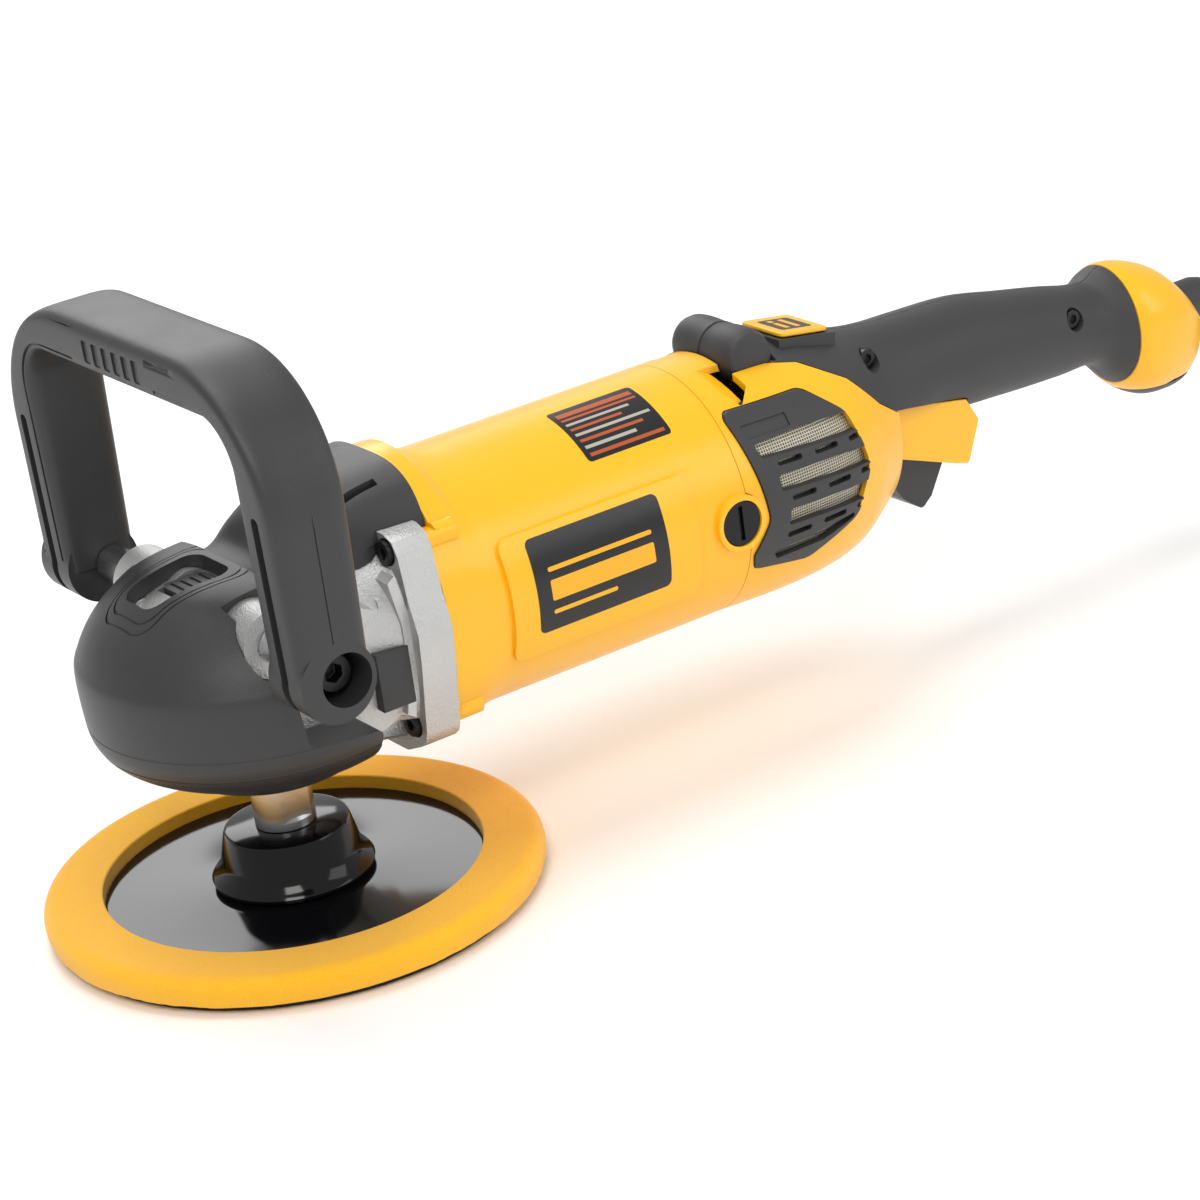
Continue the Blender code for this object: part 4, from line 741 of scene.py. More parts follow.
def build_plug():
    x, y = COIL_CENTRE[0] + COIL_R + 2 * CORD_R, COIL_CENTRE[1]
    start = y + 47 * MM
    sections = []
    shape = (
        (start, 8.4, 8.0, 5.0), (start + 2 * MM, 11.5, 10.4, 5.6), (start + 8 * MM, 13.4, 11.6, 6.4),
        (start + 22 * MM, 13.8, 11.9, 6.8), (start + 27.5 * MM, 14, 12, 7), (start + 30 * MM, 13.2, 11.2, 6.4),
    )
    for place, half, tall, corner in shape:
        face = rounded(
            [
                (-half * MM, -tall * MM),
                (half * MM, -tall * MM),
                (half * MM, tall * MM),
                (-half * MM, tall * MM),
            ],
            corner * MM,
            8,
        )
        sections.append([Vector((x - 4 * MM + px, place, 13 * MM + pz)) for px, pz in face])
    plug = skin("plug_body", sections, RUBBER)
    sleeve = [
        (0, y + 49 * MM), (5.2 * MM, y + 49 * MM), (5.2 * MM, y + 46 * MM), (4.9 * MM, y + 45.4 * MM),
        (4.9 * MM, y + 44.4 * MM), (5.1 * MM, y + 43.8 * MM), (4.7 * MM, y + 42.4 * MM), (4.8 * MM, y + 41.4 * MM),
        (4.4 * MM, y + 40 * MM), (0, y + 40 * MM),
    ]
    relief = turned("plug_relief", sleeve, None, "y", (x - 4 * MM, 0, 13 * MM), 64)
    join(plug, relief)
    for side in (-1, 1):
        for i in range(5):
            at = start + (6 + 3.4 * i) * MM
            low, high = sorted((x - 4 * MM + side * 13.2 * MM, x - 4 * MM + side * 16 * MM))
            cut(plug, box("plug_rib", (low, at, 6 * MM), (high, at + 1.3 * MM, 20 * MM)))
    settle(plug, 0.4 * MM)
    blades = []
    for side in (-1, 1):
        middle = x - 4 * MM + side * 6.35 * MM
        outline = rounded(
            [
                (start + 28 * MM, 9.9 * MM),
                (start + 47 * MM, 9.9 * MM),
                (start + 47 * MM, 16.1 * MM),
                (start + 28 * MM, 16.1 * MM),
            ],
            1.2 * MM,
        )
        name = "plug_blade_left" if side < 0 else "plug_blade_right"
        blade = prism(name, outline, "x", middle - 0.75 * MM, middle + 0.75 * MM, BRASS)
        cut(
            blade,
            rod("blade_hole", (middle - 3 * MM, start + 43 * MM, 13 * MM), 6 * MM, 1.5 * MM, "x", None, 32),
        )
        blades.append(settle(blade, 0.2 * MM))
    return plug, blades


def build_cord():
    curve = bpy.data.curves.new("cord", "CURVE")
    curve.dimensions = "3D"
    path = cord_path()
    line = curve.splines.new("POLY")
    line.points.add(len(path) - 1)
    for point, place in zip(line.points, path):
        point.co = (*place, 1)
    curve.bevel_depth = CORD_R
    curve.bevel_resolution = 5
    curve.use_fill_caps = True
    cord = bpy.data.objects.new("cord", curve)
    curve.materials.append(PVC)
    bpy.context.scene.collection.objects.link(cord)
    plug, blades = build_plug()
    show(cord, "housing", "cord_tube", "cord_coil", slot="soft_grip")
    show(plug, "housing", "plug", slot="soft_grip")
    for blade in blades:
        show(blade, "housing", slot="brass")


build_cord()


# ---- the pad and the spindle -----------------------------------------------------------------
def build_pad():
    hook = rod("hook_face", (0, 0, 0), FOAM_BASE - GAP, HOOK_R, "z", HOOKS, FINE)
    recess = PLATE_R + GAP
    profile = [
        (0, FOAM_FLOOR), (recess, FOAM_FLOOR), (recess, FOAM_TOP - 0.4 * MM), (recess + 0.4 * MM, FOAM_TOP),
    ]
    profile += [(recess + i * (PAD_R - 5 * MM - recess) / 14, FOAM_TOP) for i in range(2, 15)]
    profile += [
        (PAD_R - (5 - 5 * math.sin(a)) * MM, FOAM_TOP - (5 - 5 * math.cos(a)) * MM)
        for a in (0.3, 0.6, 0.9, 1.2, 1.5)
    ]
    profile += [
        (PAD_R, FOAM_TOP - 6.5 * MM),
        (PAD_R - 1 * MM, FOAM_BASE + 1.5 * MM),
        (PAD_R - 4 * MM, FOAM_BASE),
        (0, FOAM_BASE),
    ]
    foam = settle(turned("foam_pad", profile, FOAM, steps=288))
    for corner in foam.data.vertices:
        place = corner.co
        if math.hypot(place.x, place.y) > recess + 1 * MM and place.z > FOAM_BASE + 0.1 * MM:
            swell = noise.noise(place * 240) * 0.22 + noise.noise(place * 900) * 0.12
            out = Vector((place.x, place.y, 0)).normalized()
            corner.co = place - out * (0.35 + swell) * MM + Vector((0, 0, swell * 0.8 * MM))
    plate_low = FOAM_FLOOR + GAP
    edge = PLATE_R - 0.6 * MM
    top = plate_low + PLATE_THICK
    disc = [(0, top), (34 * MM, top), (36 * MM, top - 0.25 * MM), (edge, top - 0.25 * MM)]
    disc += [(PLATE_R, top - 0.8 * MM), (PLATE_R, plate_low), (0, plate_low)]
    plate = settle(turned("backing_plate", disc, GLOSS, steps=FINE))
    base = top + GAP
    bore = THREAD_R + GAP
    outline = [
        (bore, HUB_TOP),
        (HUB_TOP_R - 2.4 * MM, HUB_TOP),
        (HUB_TOP_R - 1.3 * MM, HUB_TOP - 0.5 * MM),
        (HUB_TOP_R - 0.8 * MM, HUB_TOP - 1.6 * MM),
        (HUB_TOP_R + 1.4 * MM, base + 9 * MM),
        (HUB_TOP_R + 2.9 * MM, base + 5 * MM),
        (HUB_BASE_R + 1.0 * MM, base + 3.6 * MM),
        (HUB_BASE_R + 1.9 * MM, base + 2.4 * MM),
        (HUB_BASE_R + 1.6 * MM, base + 1.2 * MM),
        (HUB_BASE_R + 0.6 * MM, base + 0.5 * MM),
        (HUB_BASE_R + 0.2 * MM, base),
        (bore, base),
    ]
    hub = settle(turned("backing_hub", outline, GLOSS, closed=True, steps=FINE))
    show(settle(hook), "spindle_set", "hook_face", slot="hook_fabric")
    show(foam, "spindle_set", "foam_pad", slot="pad_foam")
    show(plate, "spindle_set", "backing_plate", slot="gloss_black")
    show(hub, "spindle_set", "backing_hub", slot="gloss_black")
    base = HUB_TOP + GAP
    collar = ring("spindle_collar", THREAD_R + GAP, COLLAR_R, base, COLLAR_TOP, STEEL, steps=FINE)
    for side in (-1, 1):
        low = side * (COLLAR_R - 1.6 * MM)
        far = side * (COLLAR_R + 3 * MM)
        cut(
            collar,
            box("collar_flat", (-20 * MM, min(low, far), base + 3 * MM), (20 * MM, max(low, far), 60 * MM)),
        )
    show(settle(collar, 0.5 * MM), "spindle_set", "spindle_collar", slot="steel")


# ---- the cast case, the head cover and the saddle --------------------------------------------
def build_gear_case():
    case = case_outside("gear_case", 0.0, CAST)
    for side in (-1, 1):
        for angle in (24, -8, -38):
            turn = math.radians(angle)
            y, z = side * 46.8 * MM * math.cos(turn), AXIS_Z + 40 * MM * math.sin(turn)
            join(case, rod("case_rib", (27 * MM, y * 0.93, z), 12 * MM, 2.2 * MM, "x", None, 24))
        curve = [(side * 44 * MM, AXIS_Z + (i - 5) * 4.4 * MM) for i in range(11)]
        low, high = sorted((side * 37 * MM, side * 45.2 * MM))
        web = [
            (30 * MM, AXIS_Z - 24 * MM), (33 * MM, AXIS_Z - 26 * MM), (36.5 * MM, AXIS_Z - 8 * MM),
            (36.5 * MM, AXIS_Z + 10 * MM), (33 * MM, AXIS_Z + 26 * MM), (30 * MM, AXIS_Z + 24 * MM),
            (33 * MM, AXIS_Z + 8 * MM), (33 * MM, AXIS_Z - 8 * MM),
        ]
        join(case, prism("case_web", web, "y", low, high))
    cut(case, rod("gear_room", (0, 0, LOWER_BEARING[1] + GAP), 35 * MM, 28.5 * MM, "z", None, 64))
    cut(case, rod("lower_seat", mm(0, 0, 20), 50 * MM, 22 * MM, "z", None, 64))
    cut(case, rod("upper_seat", mm(0, 0, 95), 15.8 * MM, 9 * MM, "z", None, 64))
    cut(case, rod("shaft_bore", (5 * MM, 0, AXIS_Z), 60 * MM, 17 * MM, "x", None, 64))
    x, z = HANDLE_BOLT
    for side in (-1, 1):
        start = 33.7 * MM if side > 0 else -70 * MM
        cut(case, rod("bolt_bore", (x, start, z), 36.3 * MM, BOLT_R + GAP, "y", None, 32))
    for y, z in case_screws():
        cut(case, rod("screw_hole", (20 * MM, y, z), 60 * MM, SCREW_R + GAP, "x", None, 32))
        cut(case, rod("head_pocket", (18 * MM, y, z), FLANGE_FRONT + 3 * MM - 18 * MM, 5 * MM, "x", None, 48))
    cut(case, rod("pin_bore", mm(-12.5, 0, 96), 40 * MM, 2.1 * MM, "z", None, 32))
    cut(case, box("lock_pocket", (LOCK_X - 10 * MM, -9 * MM, 113 * MM), (LOCK_X + 8 * MM, 9 * MM, 140 * MM)))
    show(settle(case, 1.1 * MM, 34), "housing", "gear_case", slot="cast_case")
    for i, (y, z) in enumerate(case_screws()):
        seat = FLANGE_FRONT + 3 * MM - GAP
        screw = rod(
            f"flange_screw_head_{i + 1}", (seat - 4.5 * MM, y, z), 4.5 * MM, 4.3 * MM, "x", DARK_STEEL, 48
        )
        join(screw, rod("screw_shank", (seat - 1 * MM, y, z), 21 * MM, SCREW_R, "x", None, 32))
        cut(screw, rod("screw_socket", (seat - 8 * MM, y, z), 6 * MM, 2.2 * MM, "x", None, 6))
        show(settle(screw, 0.35 * MM), "housing", f"flange_screw_{i + 1}", slot="dark_steel")
    # A black block on the near side only, in the gap between the handle's foot and the flange: painted shade for
    # the dark gap there.
    gap_shade = box("painted_gap_shade", mm(21, -45.5, 75), mm(34, -38, 96), BLACK)
    cut(gap_shade, case_outside("painted_gap_shade_room", 0.05 * MM))
    show(settle(gap_shade, 1.2 * MM), "housing", slot="black_housing")


def build_head_cover():
    cover = turned("head_cover", spread_profile(head_profile(0.0)), BLACK, steps=FINE)
    cut(cover, case_outside("case_room", GAP))
    sides = rounded(
        spots(
            (-27, 140),
            (-24.6, 125),
            (-19, 107),
            (-15.5, 79),
            (12, 77),
            (12, 60),
            (3, 55),
            (-4, 30),
            (90, 30),
            (90, 140),
        ),
        3 * MM,
        8,
    )
    for side in (-1, 1):
        low, high = sorted((side * 30 * MM, side * 80 * MM))
        cut(cover, prism("cover_side", sides, "y", low, high))
    cut(cover, box("cover_rear", mm(-6, -31, 74), mm(90, 31, 150)))
    cut(cover, box("cover_rear_low", mm(14, -31, 30), mm(90, 31, 80)))
    x, z = HANDLE_BOLT
    cut(cover, rod("arm_room", (x, -80 * MM, z), 160 * MM, ARM_R + GAP, "y", None, 96))
    cut(cover, rod("cover_mouth", mm(0, 0, 20), 50 * MM, 13 * MM, "z", None, FINE))
    window = rounded(
        spots((-41, -10), (-9, -14), (-9, 14), (-41, 10)), 6 * MM, 10
    )
    cut(cover, prism("cover_window", window, "z", 100 * MM, 150 * MM))
    middle = Vector(mm(-24, 0))
    for grow in (1.28, 1.46):
        line = [tuple(middle + (Vector(p) - middle) * grow) for p in window]
        inner = [tuple(middle + (Vector(p) - middle) * (grow - 0.045)) for p in window]
        band = prism("window_groove", line, "z", 110 * MM, 150 * MM)
        cut(band, prism("window_groove_inside", inner, "z", 100 * MM, 160 * MM))
        depth = turned("groove_limit", spread_profile(head_profile(0.55 * MM)), None, steps=FINE)
        cut(band, depth)
        cut(cover, band)
    for level in (79.4, 71.2):
        outer = 64 * MM
        reach = 61.1 * MM if level > 75 else 58.4 * MM
        cut(cover, ring("cover_crease", reach, outer, (level - 0.35) * MM, (level + 0.35) * MM, steps=FINE))
    show(settle(cover, 0.9 * MM, 36), "housing", "head_cover", slot="black_housing")
    frame_line = [tuple(middle + (Vector(p) - middle) * 0.985) for p in window]
    hole = [tuple(middle + (Vector(p) - middle) * 0.86) for p in window]
    rim = prism("window_frame", frame_line, "z", 119.2 * MM, 121.4 * MM, STEEL)
    cut(rim, prism("window_hole", hole, "z", 110 * MM, 130 * MM))
    cut(rim, case_outside("rim_room", 0.05 * MM))
    show(settle(rim, 0.4 * MM), "housing", slot="steel")


def spread_profile(profile):
    """The same profile with its long gentle runs drawn as a smooth curve."""
    inner = spread([tuple(p) for p in profile[1:-1]], 5)
    return [tuple(profile[0]), *inner, tuple(profile[-1])]


def build_lock():
    base = 113 * MM + 0.6 * MM + LOCK_TRAVEL
    outline = rounded(
        [
            (LOCK_X - 9 * MM, -8 * MM),
            (LOCK_X + 7 * MM, -8 * MM),
            (LOCK_X + 7 * MM, 8 * MM),
            (LOCK_X - 9 * MM, 8 * MM),
        ],
        3 * MM,
        8,
    )
    button = prism("lock_button", outline, "z", base, LOCK_TOP + LOCK_TRAVEL, RUBBER)
    join(button, rod("lock_pin", mm(-12.5, 0, 92.7), base + 1 * MM - 92.7 * MM, 1.7 * MM, "z", None, 32))
    for i in range(4):
        at = LOCK_X + (-6.5 + 3.6 * i) * MM
        cut(
            button,
            box(
                "lock_rib",
                (at, -6 * MM, LOCK_TOP + LOCK_TRAVEL - 0.7 * MM),
                (at + 1.2 * MM, 6 * MM, 140 * MM),
            ),
        )
    show(settle(button, 0.6 * MM), "lock", "lock_button", slot="soft_grip")


def build_saddle():
    rows = [
        (x, half, top)
        for x, half, top in (
            (-5.7, 26, 128.5),
            (2, 28, 131),
            (9, 29, 137.5),
            (20, 31, 144),
            (34, 34, 148.5),
            (53.7, 36, 150.5),
        )
    ]
    sections = []
    for x, half, top in spread(rows, 6):
        low = 112 * MM
        sections.append(egg(x * MM, low, half * MM, top * MM - low, 8 * MM, 3.2, 2.4, 144))
    saddle = skin("saddle_cover", sections, BLACK)
    cut(saddle, case_outside("neck_room", GAP))
    cut(saddle, box("saddle_under", mm(-30, -60, 80), mm(80, 60, 121)))
    cut(saddle, box("saddle_step", (FLANGE_REAR, -60 * MM, 80 * MM), (80 * MM, 60 * MM, SADDLE_STEP + GAP)))
    for y, z in case_screws():
        cut(saddle, rod("head_room", (20 * MM, y, z), 17 * MM, 5 * MM, "x", None, 48))
    cut(saddle, box("saddle_slot", mm(20, -24, 139), mm(44, -21, 170)))
    cut(saddle, box("saddle_slot", mm(20, 21, 139), mm(44, 24, 170)))
    show(settle(saddle, 1.0 * MM, 30), "housing", "saddle_cover", slot="black_housing")


# ---- the bail handle -------------------------------------------------------------------------
def along_handle(name, reach, front, width, deep):
    """A thin cutter that follows the bail: reach 0 is its inner face and 1 its outer face."""
    sections = []
    for outer, inner in handle_stations():
        outer, inner = Vector(outer), Vector(inner)
        place = inner.lerp(outer, reach)
        out = (outer - inner).normalized()
        rise = place.y - HANDLE_BOLT[1]
        edge = HANDLE_FRONT - HANDLE_FLARE * rise if front else HANDLE_REAR + HANDLE_FLARE * rise
        way = -1 if front else 1
        a, b = place - out * width / 2, place + out * width / 2
        sections.append(
            [
                Vector((edge - way * deep, a.x, a.y)),
                Vector((edge - way * deep, b.x, b.y)),
                Vector((edge + way * 3 * MM, b.x, b.y)),
                Vector((edge + way * 3 * MM, a.x, a.y)),
            ]
        )
    return skin(name, sections)


def build_handle():
    handle = skin("bail_handle", [handle_section(*pair) for pair in handle_stations()], BLACK)
    x, z = HANDLE_BOLT
    foot_x = (HANDLE_FRONT + HANDLE_REAR) / 2
    for side in (-1, 1):
        low, high = sorted((side * (HANDLE_INNER + 1.2 * MM), side * (HANDLE_HALF - 0.2 * MM)))
        join(handle, rod("foot", (foot_x, low, z), high - low, HANDLE_FOOT_R - 0.1 * MM, "y", None, 96))
    for side in (-1, 1):

        def span(a, b):
            ends = sorted((side * a, side * b))
            return ends[0], ends[1] - ends[0]

        floor = BOLT_HEAD_OUT - BOLT_HEAD_TALL - GAP
        start, length = span(floor, HANDLE_HALF + 5 * MM)
        cut(handle, rod("bolt_recess", (x, start, z), length, 9.2 * MM, "y", None, 96))
        start, length = span(HANDLE_INNER - 8 * MM, HANDLE_HALF)
        cut(handle, rod("bolt_hole", (x, start, z), length, BOLT_R + GAP, "y", None, 32))
        front = HANDLE_FRONT - HANDLE_FLARE * 30 * MM
        low, high = sorted((side * 79 * MM, side * 83.4 * MM))
        slot = rounded([(low, 104 * MM), (high, 104 * MM), (high, 172 * MM), (low, 172 * MM)], 2.1 * MM, 6)
        cut(handle, prism("leg_slot", slot, "x", front - 5 * MM, front + 4 * MM))
        word = "left" if side < 0 else "right"
        start, length = span(BOLT_HEAD_OUT - BOLT_HEAD_TALL, BOLT_HEAD_OUT)
        bolt = rod("bolt_head_" + word, (x, start, z), length, BOLT_HEAD_R, "y", DARK_STEEL, 96)
        start, length = span(34 * MM, BOLT_HEAD_OUT - 2 * MM)
        join(bolt, rod("bolt_shank", (x, start, z), length, BOLT_R, "y", None, 48))
        start, length = span(BOLT_HEAD_OUT - 4.5 * MM, BOLT_HEAD_OUT + 5 * MM)
        cut(bolt, rod("bolt_socket", (x, start, z), length, 3.4 * MM, "y", None, 6))
        show(settle(bolt, 0.5 * MM), "housing", "handle_bolt_" + word, slot="dark_steel")
        low, high = sorted((side * (ARM_END + GAP), side * (HANDLE_INNER - GAP)))
        spacer = ring("arm_spacer_" + word, BOLT_R + GAP, 6.6 * MM, low, high, STEEL, "y", (x, 0, z), 96)
        show(settle(spacer, 0.4 * MM), "housing", "handle_spacer_" + word, slot="steel")
        low, high = sorted((side * (HANDLE_HALF - 0.35 * MM), side * (HANDLE_HALF + 2 * MM)))
        cut(
            handle,
            box("leg_parting", (foot_x - 0.25 * MM, low, 127 * MM), (foot_x + 0.25 * MM, high, 186 * MM)),
        )
    front = HANDLE_FRONT - HANDLE_FLARE * (HANDLE_TOP - HANDLE_BOLT[1])
    for reach in (0.22, 0.86):
        line = along_handle("handle_groove", reach, True, 1.1 * MM, 0.8 * MM)
        keep(line, box("groove_reach", mm(-60, 30, 118), mm(0, 100, 230)))
        cut(handle, line)
    for y, z, half in ((-33, 212.6, 8), (-37, 202.6, 10)):
        pill = rounded(
            [
                ((y - half) * MM, (z - 1) * MM),
                ((y + half) * MM, (z - 1) * MM),
                ((y + half) * MM, (z + 1) * MM),
                ((y - half) * MM, (z + 1) * MM),
            ],
            0.9 * MM,
        )
        cut(handle, prism("handle_pill", pill, "x", front - 6 * MM, front + 0.9 * MM))
    for i in range(6):
        y = (20 - 7 * i) * MM
        rib = rounded(
            [(y - 4.2 * MM, 203.6 * MM), (y, 203.6 * MM), (y, 211.6 * MM), (y - 4.2 * MM, 211.6 * MM)],
            0.8 * MM,
        )
        cut(handle, prism("handle_rib", rib, "x", front - 6 * MM, front + 0.8 * MM))
    show(settle(handle, 0.45 * MM, 40), "housing", "bail_handle", slot="black_housing")


# ---- the motor's housings --------------------------------------------------------------------
def patch(name, outline, axis, side, inner, outer, look_of):
    """A thin label or panel on the barrel: the outline pushed sideways, between two radii."""
    far = 80 * MM
    low, high = (AXIS_Z, AXIS_Z + far) if axis == "z" else sorted((0, side * far))
    piece = prism(name, outline, axis, low, high, look_of)
    keep(piece, rod(name + "_outer", (20 * MM, 0, AXIS_Z), 200 * MM, outer, "x", None, 256))
    cut(piece, rod(name + "_inner", (10 * MM, 0, AXIS_Z), 220 * MM, inner, "x", None, 256))
    return piece


def build_field_case():
    case = skin("field_case", field_sections(0.0), YELLOW)
    panel = rod("side_panel", (75 * MM, 0, AXIS_Z), 80 * MM, BARREL_R + 1.6 * MM, "x", None, 192)
    band = rounded(spots((75, 74), (155, 74), (155, 119), (75, 119)), 4 * MM, 8)
    keep(panel, prism("panel_band", band, "y", -60 * MM, 60 * MM))
    join(case, panel)
    cut(case, skin("field_room", field_sections(2.5 * MM)))
    for side in (-1, 1):
        join(case, brush_boss("brush_boss", side))
        for start, radius in (mm(10, 7.4), (44.2 * MM, BRUSH_CAP_R + GAP)):
            low, high = sorted((side * start, side * 70 * MM))
            cut(case, rod("brush_bore", (BRUSH_X, low, AXIS_Z), high - low, radius, "y", None, 96))
    for y, z in case_screws():
        join(case, rod("screw_boss", (FLANGE_REAR + GAP, y, z), 12 * MM, 4.6 * MM, "x", None, 48))
        cut(
            case,
            rod(
                "screw_bore", (20 * MM, y, z), FLANGE_REAR + 10 * MM - 20 * MM, SCREW_R + GAP, "x", None, 32
            ),
        )
    cut(case, box("saddle_room", (30 * MM, -60 * MM, SADDLE_STEP), (CASE_FRONT_TOP, 60 * MM, 170 * MM)))
    cut(case, rod("rotor_clearance", (FLANGE_REAR - 5 * MM, 0, AXIS_Z), 24 * MM, 39 * MM, "x", None, 96))
    show(settle(case, 0.9 * MM, 24), "housing", "field_case", slot="yellow_housing")
    on_panel = BARREL_R + 1.6 * MM
    for side, word in ((-1, "left"), (1, "right")):
        plate = rounded(
            spots((85.2, 82.3), (141.2, 82.3), (141.2, 116.5), (85.2, 116.5)),
            2.4 * MM,
            8,
        )
        label = patch(
            "side_label_" + word, plate, "y", side, on_panel - 0.1 * MM, on_panel + 0.15 * MM, LABEL
        )
        show(settle(label), "housing", slot="gloss_black")
        for i, (start, stop, z, tall) in enumerate(
            ((91, 135, 104, 1.6), (91, 135, 93.5, 7.5), (91, 118, 88.5, 1.6)),
        ):
            strip = rounded(
                [
                    (start * MM, z * MM),
                    (stop * MM, z * MM),
                    (stop * MM, (z + tall) * MM),
                    (start * MM, (z + tall) * MM),
                ],
                0.7 * MM,
            )
            bar = patch(
                f"label_bar_{word}_{i + 1}",
                strip,
                "y",
                side,
                on_panel + 0.1 * MM,
                on_panel + 0.25 * MM,
                PRINT,
            )
            show(settle(bar), "housing", slot="yellow_housing")
    notice = rounded(spots((124, -32), (160, -32), (160, -7), (124, -7)), 1.4 * MM)
    label = patch("notice_label", notice, "z", 1, BARREL_R - 0.1 * MM, BARREL_R + 0.15 * MM, LABEL)
    show(settle(label), "housing", slot="gloss_black")
    lines = [(126, 158, -9.8, 2.4, RED_PRINT)]
    lines += [
        (126, 158 - (i % 3) * 5, -13.4 - 2.7 * i, 1.1, GREY_PRINT if i % 2 else RED_PRINT)
        for i in range(7)
    ]
    for i, (start, stop, y, tall, colour) in enumerate(lines):
        strip = [
            (start * MM, (y - tall) * MM),
            (stop * MM, (y - tall) * MM),
            (stop * MM, y * MM),
            (start * MM, y * MM),
        ]
        bar = patch(f"notice_line_{i + 1}", strip, "z", 1, BARREL_R + 0.1 * MM, BARREL_R + 0.22 * MM, colour)
        show(settle(bar), "housing", slot="yellow_housing")


def build_rear_housing():
    housing = skin("rear_housing", rear_sections(0.0, 6), YELLOW)
    room = skin("rear_room", rear_sections(2.5 * MM, 6))
    keep(room, box("rear_room_end", mm(150, -60, 30), mm(261, 60, 160)))
    cut(housing, room)
    cut(housing, housing_divide("housing_black", GAP))
    wheel_x, wheel_z = WHEEL_AT
    room = WHEEL_HALF + GAP
    cut(housing, rod("wheel_room", (wheel_x, -room, wheel_z), 2 * room, WHEEL_R + 0.6 * MM, "y", None, 96))
    for side in (-1, 1):
        boss = rod(
            "boss_room",
            (BRUSH_X, side * 45 * MM - 30 * MM, AXIS_Z),
            60 * MM,
            BRUSH_RING_R + GAP,
            "y",
            None,
            96,
        )
        cut(housing, boss)
        low, high = sorted((side * 18 * MM, side * 70 * MM))
        cut(housing, prism("lint_opening", lint_outline(GAP), "y", low, high))
    pocket = spots((184, -11.5), (196.5, -12.5), (198, -26), (191, -32), (187.5, -26))
    for side in (-1, 1):
        line = rounded([(x, -side * y) for x, y in pocket], 1.2 * MM, 5)
        dent = prism("pocket", line, "z", 120 * MM, 160 * MM)
        drops = ((170, -6), (187, -2), (198, 3), (215, 8))  # x and how far the floor's axis drops
        floors = [egg(x * MM, AXIS_Z - drop * MM, *mm(47.4, 45.2, 40), points=96) for x, drop in drops]
        cut(dent, skin("pocket_floor", floors))
        cut(housing, dent)
    show(settle(housing, 0.9 * MM, 34), "housing", "rear_housing", slot="yellow_housing")


def wall_between(name, outer_shrink, inner_shrink, look):
    shell = skin(name, rear_sections(outer_shrink, 6), look)
    cut(shell, skin(name + "_inside", rear_sections(inner_shrink, 6)))
    return shell


INTAKE_SLOTS = (  # corners of the four wide windows, (x, z) in millimetres
    ((187, 119.5), (188.5, 114), (238, 110.5), (236, 116.5), (229, 118.5), (210, 120)),
    ((193, 107), (193.2, 101), (243, 97.5), (242.5, 103.5), (220, 106)),
    ((196, 93.5), (194.5, 87.5), (241, 85), (242.5, 91), (220, 92.5)),
    ((188, 78.5), (190, 75.2), (212, 75.5), (228, 80), (226, 81.5)),
)
INTAKE_PILLS = ((194, 110, -0.8), (197, 96.4, -0.6), (194, 82.6, 0.0))  # x, z and rise per pill


def build_intakes():
    for side, word in ((-1, "left"), (1, "right")):
        low, high = sorted((side * 18 * MM, side * 70 * MM))
        cover = wall_between("lint_frame_" + word, -0.9 * MM, 2.7 * MM, RUBBER)
        keep(cover, prism("lint_edge", lint_outline(0.0), "y", low, high))
        for slot in INTAKE_SLOTS:
            line = rounded([(x * MM, z * MM) for x, z in slot], 1.0 * MM, 8)
            cut(cover, prism("lint_slot", line, "y", low, high))
        for x, z, rise in INTAKE_PILLS:
            for k in range(3):
                a, b = (x + 17 * k) * MM, (z + rise * k) * MM
                if a > 236 * MM:
                    continue
                stop = min(a + 11 * MM, 241 * MM)
                line = [
                    (a, b),
                    (stop, b + rise * 0.6 * MM),
                    (stop, b + rise * 0.6 * MM + 2.1 * MM),
                    (a, b + 2.1 * MM),
                ]
                cut(cover, prism("lint_pill", rounded(line, 0.9 * MM), "y", low, high))
        near, far = sorted((side * 30 * MM, side * 70 * MM))
        tablet = rounded(spots((185, 121.5), (205, 121), (205, 125.5), (185, 126)), 0.5 * MM)
        tablet = prism("lint_tablet", tablet, "y", near, far)
        cut(tablet, skin("tablet_floor", rear_sections(-0.4 * MM, 6)))
        cut(cover, tablet)
        show(settle(cover, 0.5 * MM), "housing", "lint_cover_" + word, slot="soft_grip")
        screen = wall_between("mesh_" + word, 3.0 * MM, 4.2 * MM, MESH)
        patch_line = rounded(
            spots((184, 74), (214, 73), (240, 84), (243, 100), (236, 120), (184, 122)),
            3 * MM,
        )
        keep(screen, prism("screen_edge", patch_line, "y", low, high))
        show(settle(screen), "housing", "mesh_screen_" + word, slot="intake_mesh")


def build_caps():
    for side, word in ((-1, "left"), (1, "right")):
        low, high = sorted((side * 44.5 * MM, side * (BRUSH_FACE - 0.6 * MM)))
        cap = rod("cap_" + word, (BRUSH_X, low, AXIS_Z), high - low, BRUSH_CAP_R, "y", GLOSS, 96)
        low, high = sorted((side * (BRUSH_FACE - 2.6 * MM), side * 60 * MM))
        cut(
            cap,
            box(
                "cap_slot",
                (BRUSH_X - 0.9 * MM, low, AXIS_Z - 6.4 * MM),
                (BRUSH_X + 0.9 * MM, high, AXIS_Z + 6.4 * MM),
            ),
        )
        show(settle(cap, 0.5 * MM), "housing", "brush_cap_" + word, slot="black_housing")


# ---- the grip, its switch and the tail -------------------------------------------------------
GRIP_SCREWS = (mm(259.6, 125.5, 15), mm(362.7, 110.5, 12))


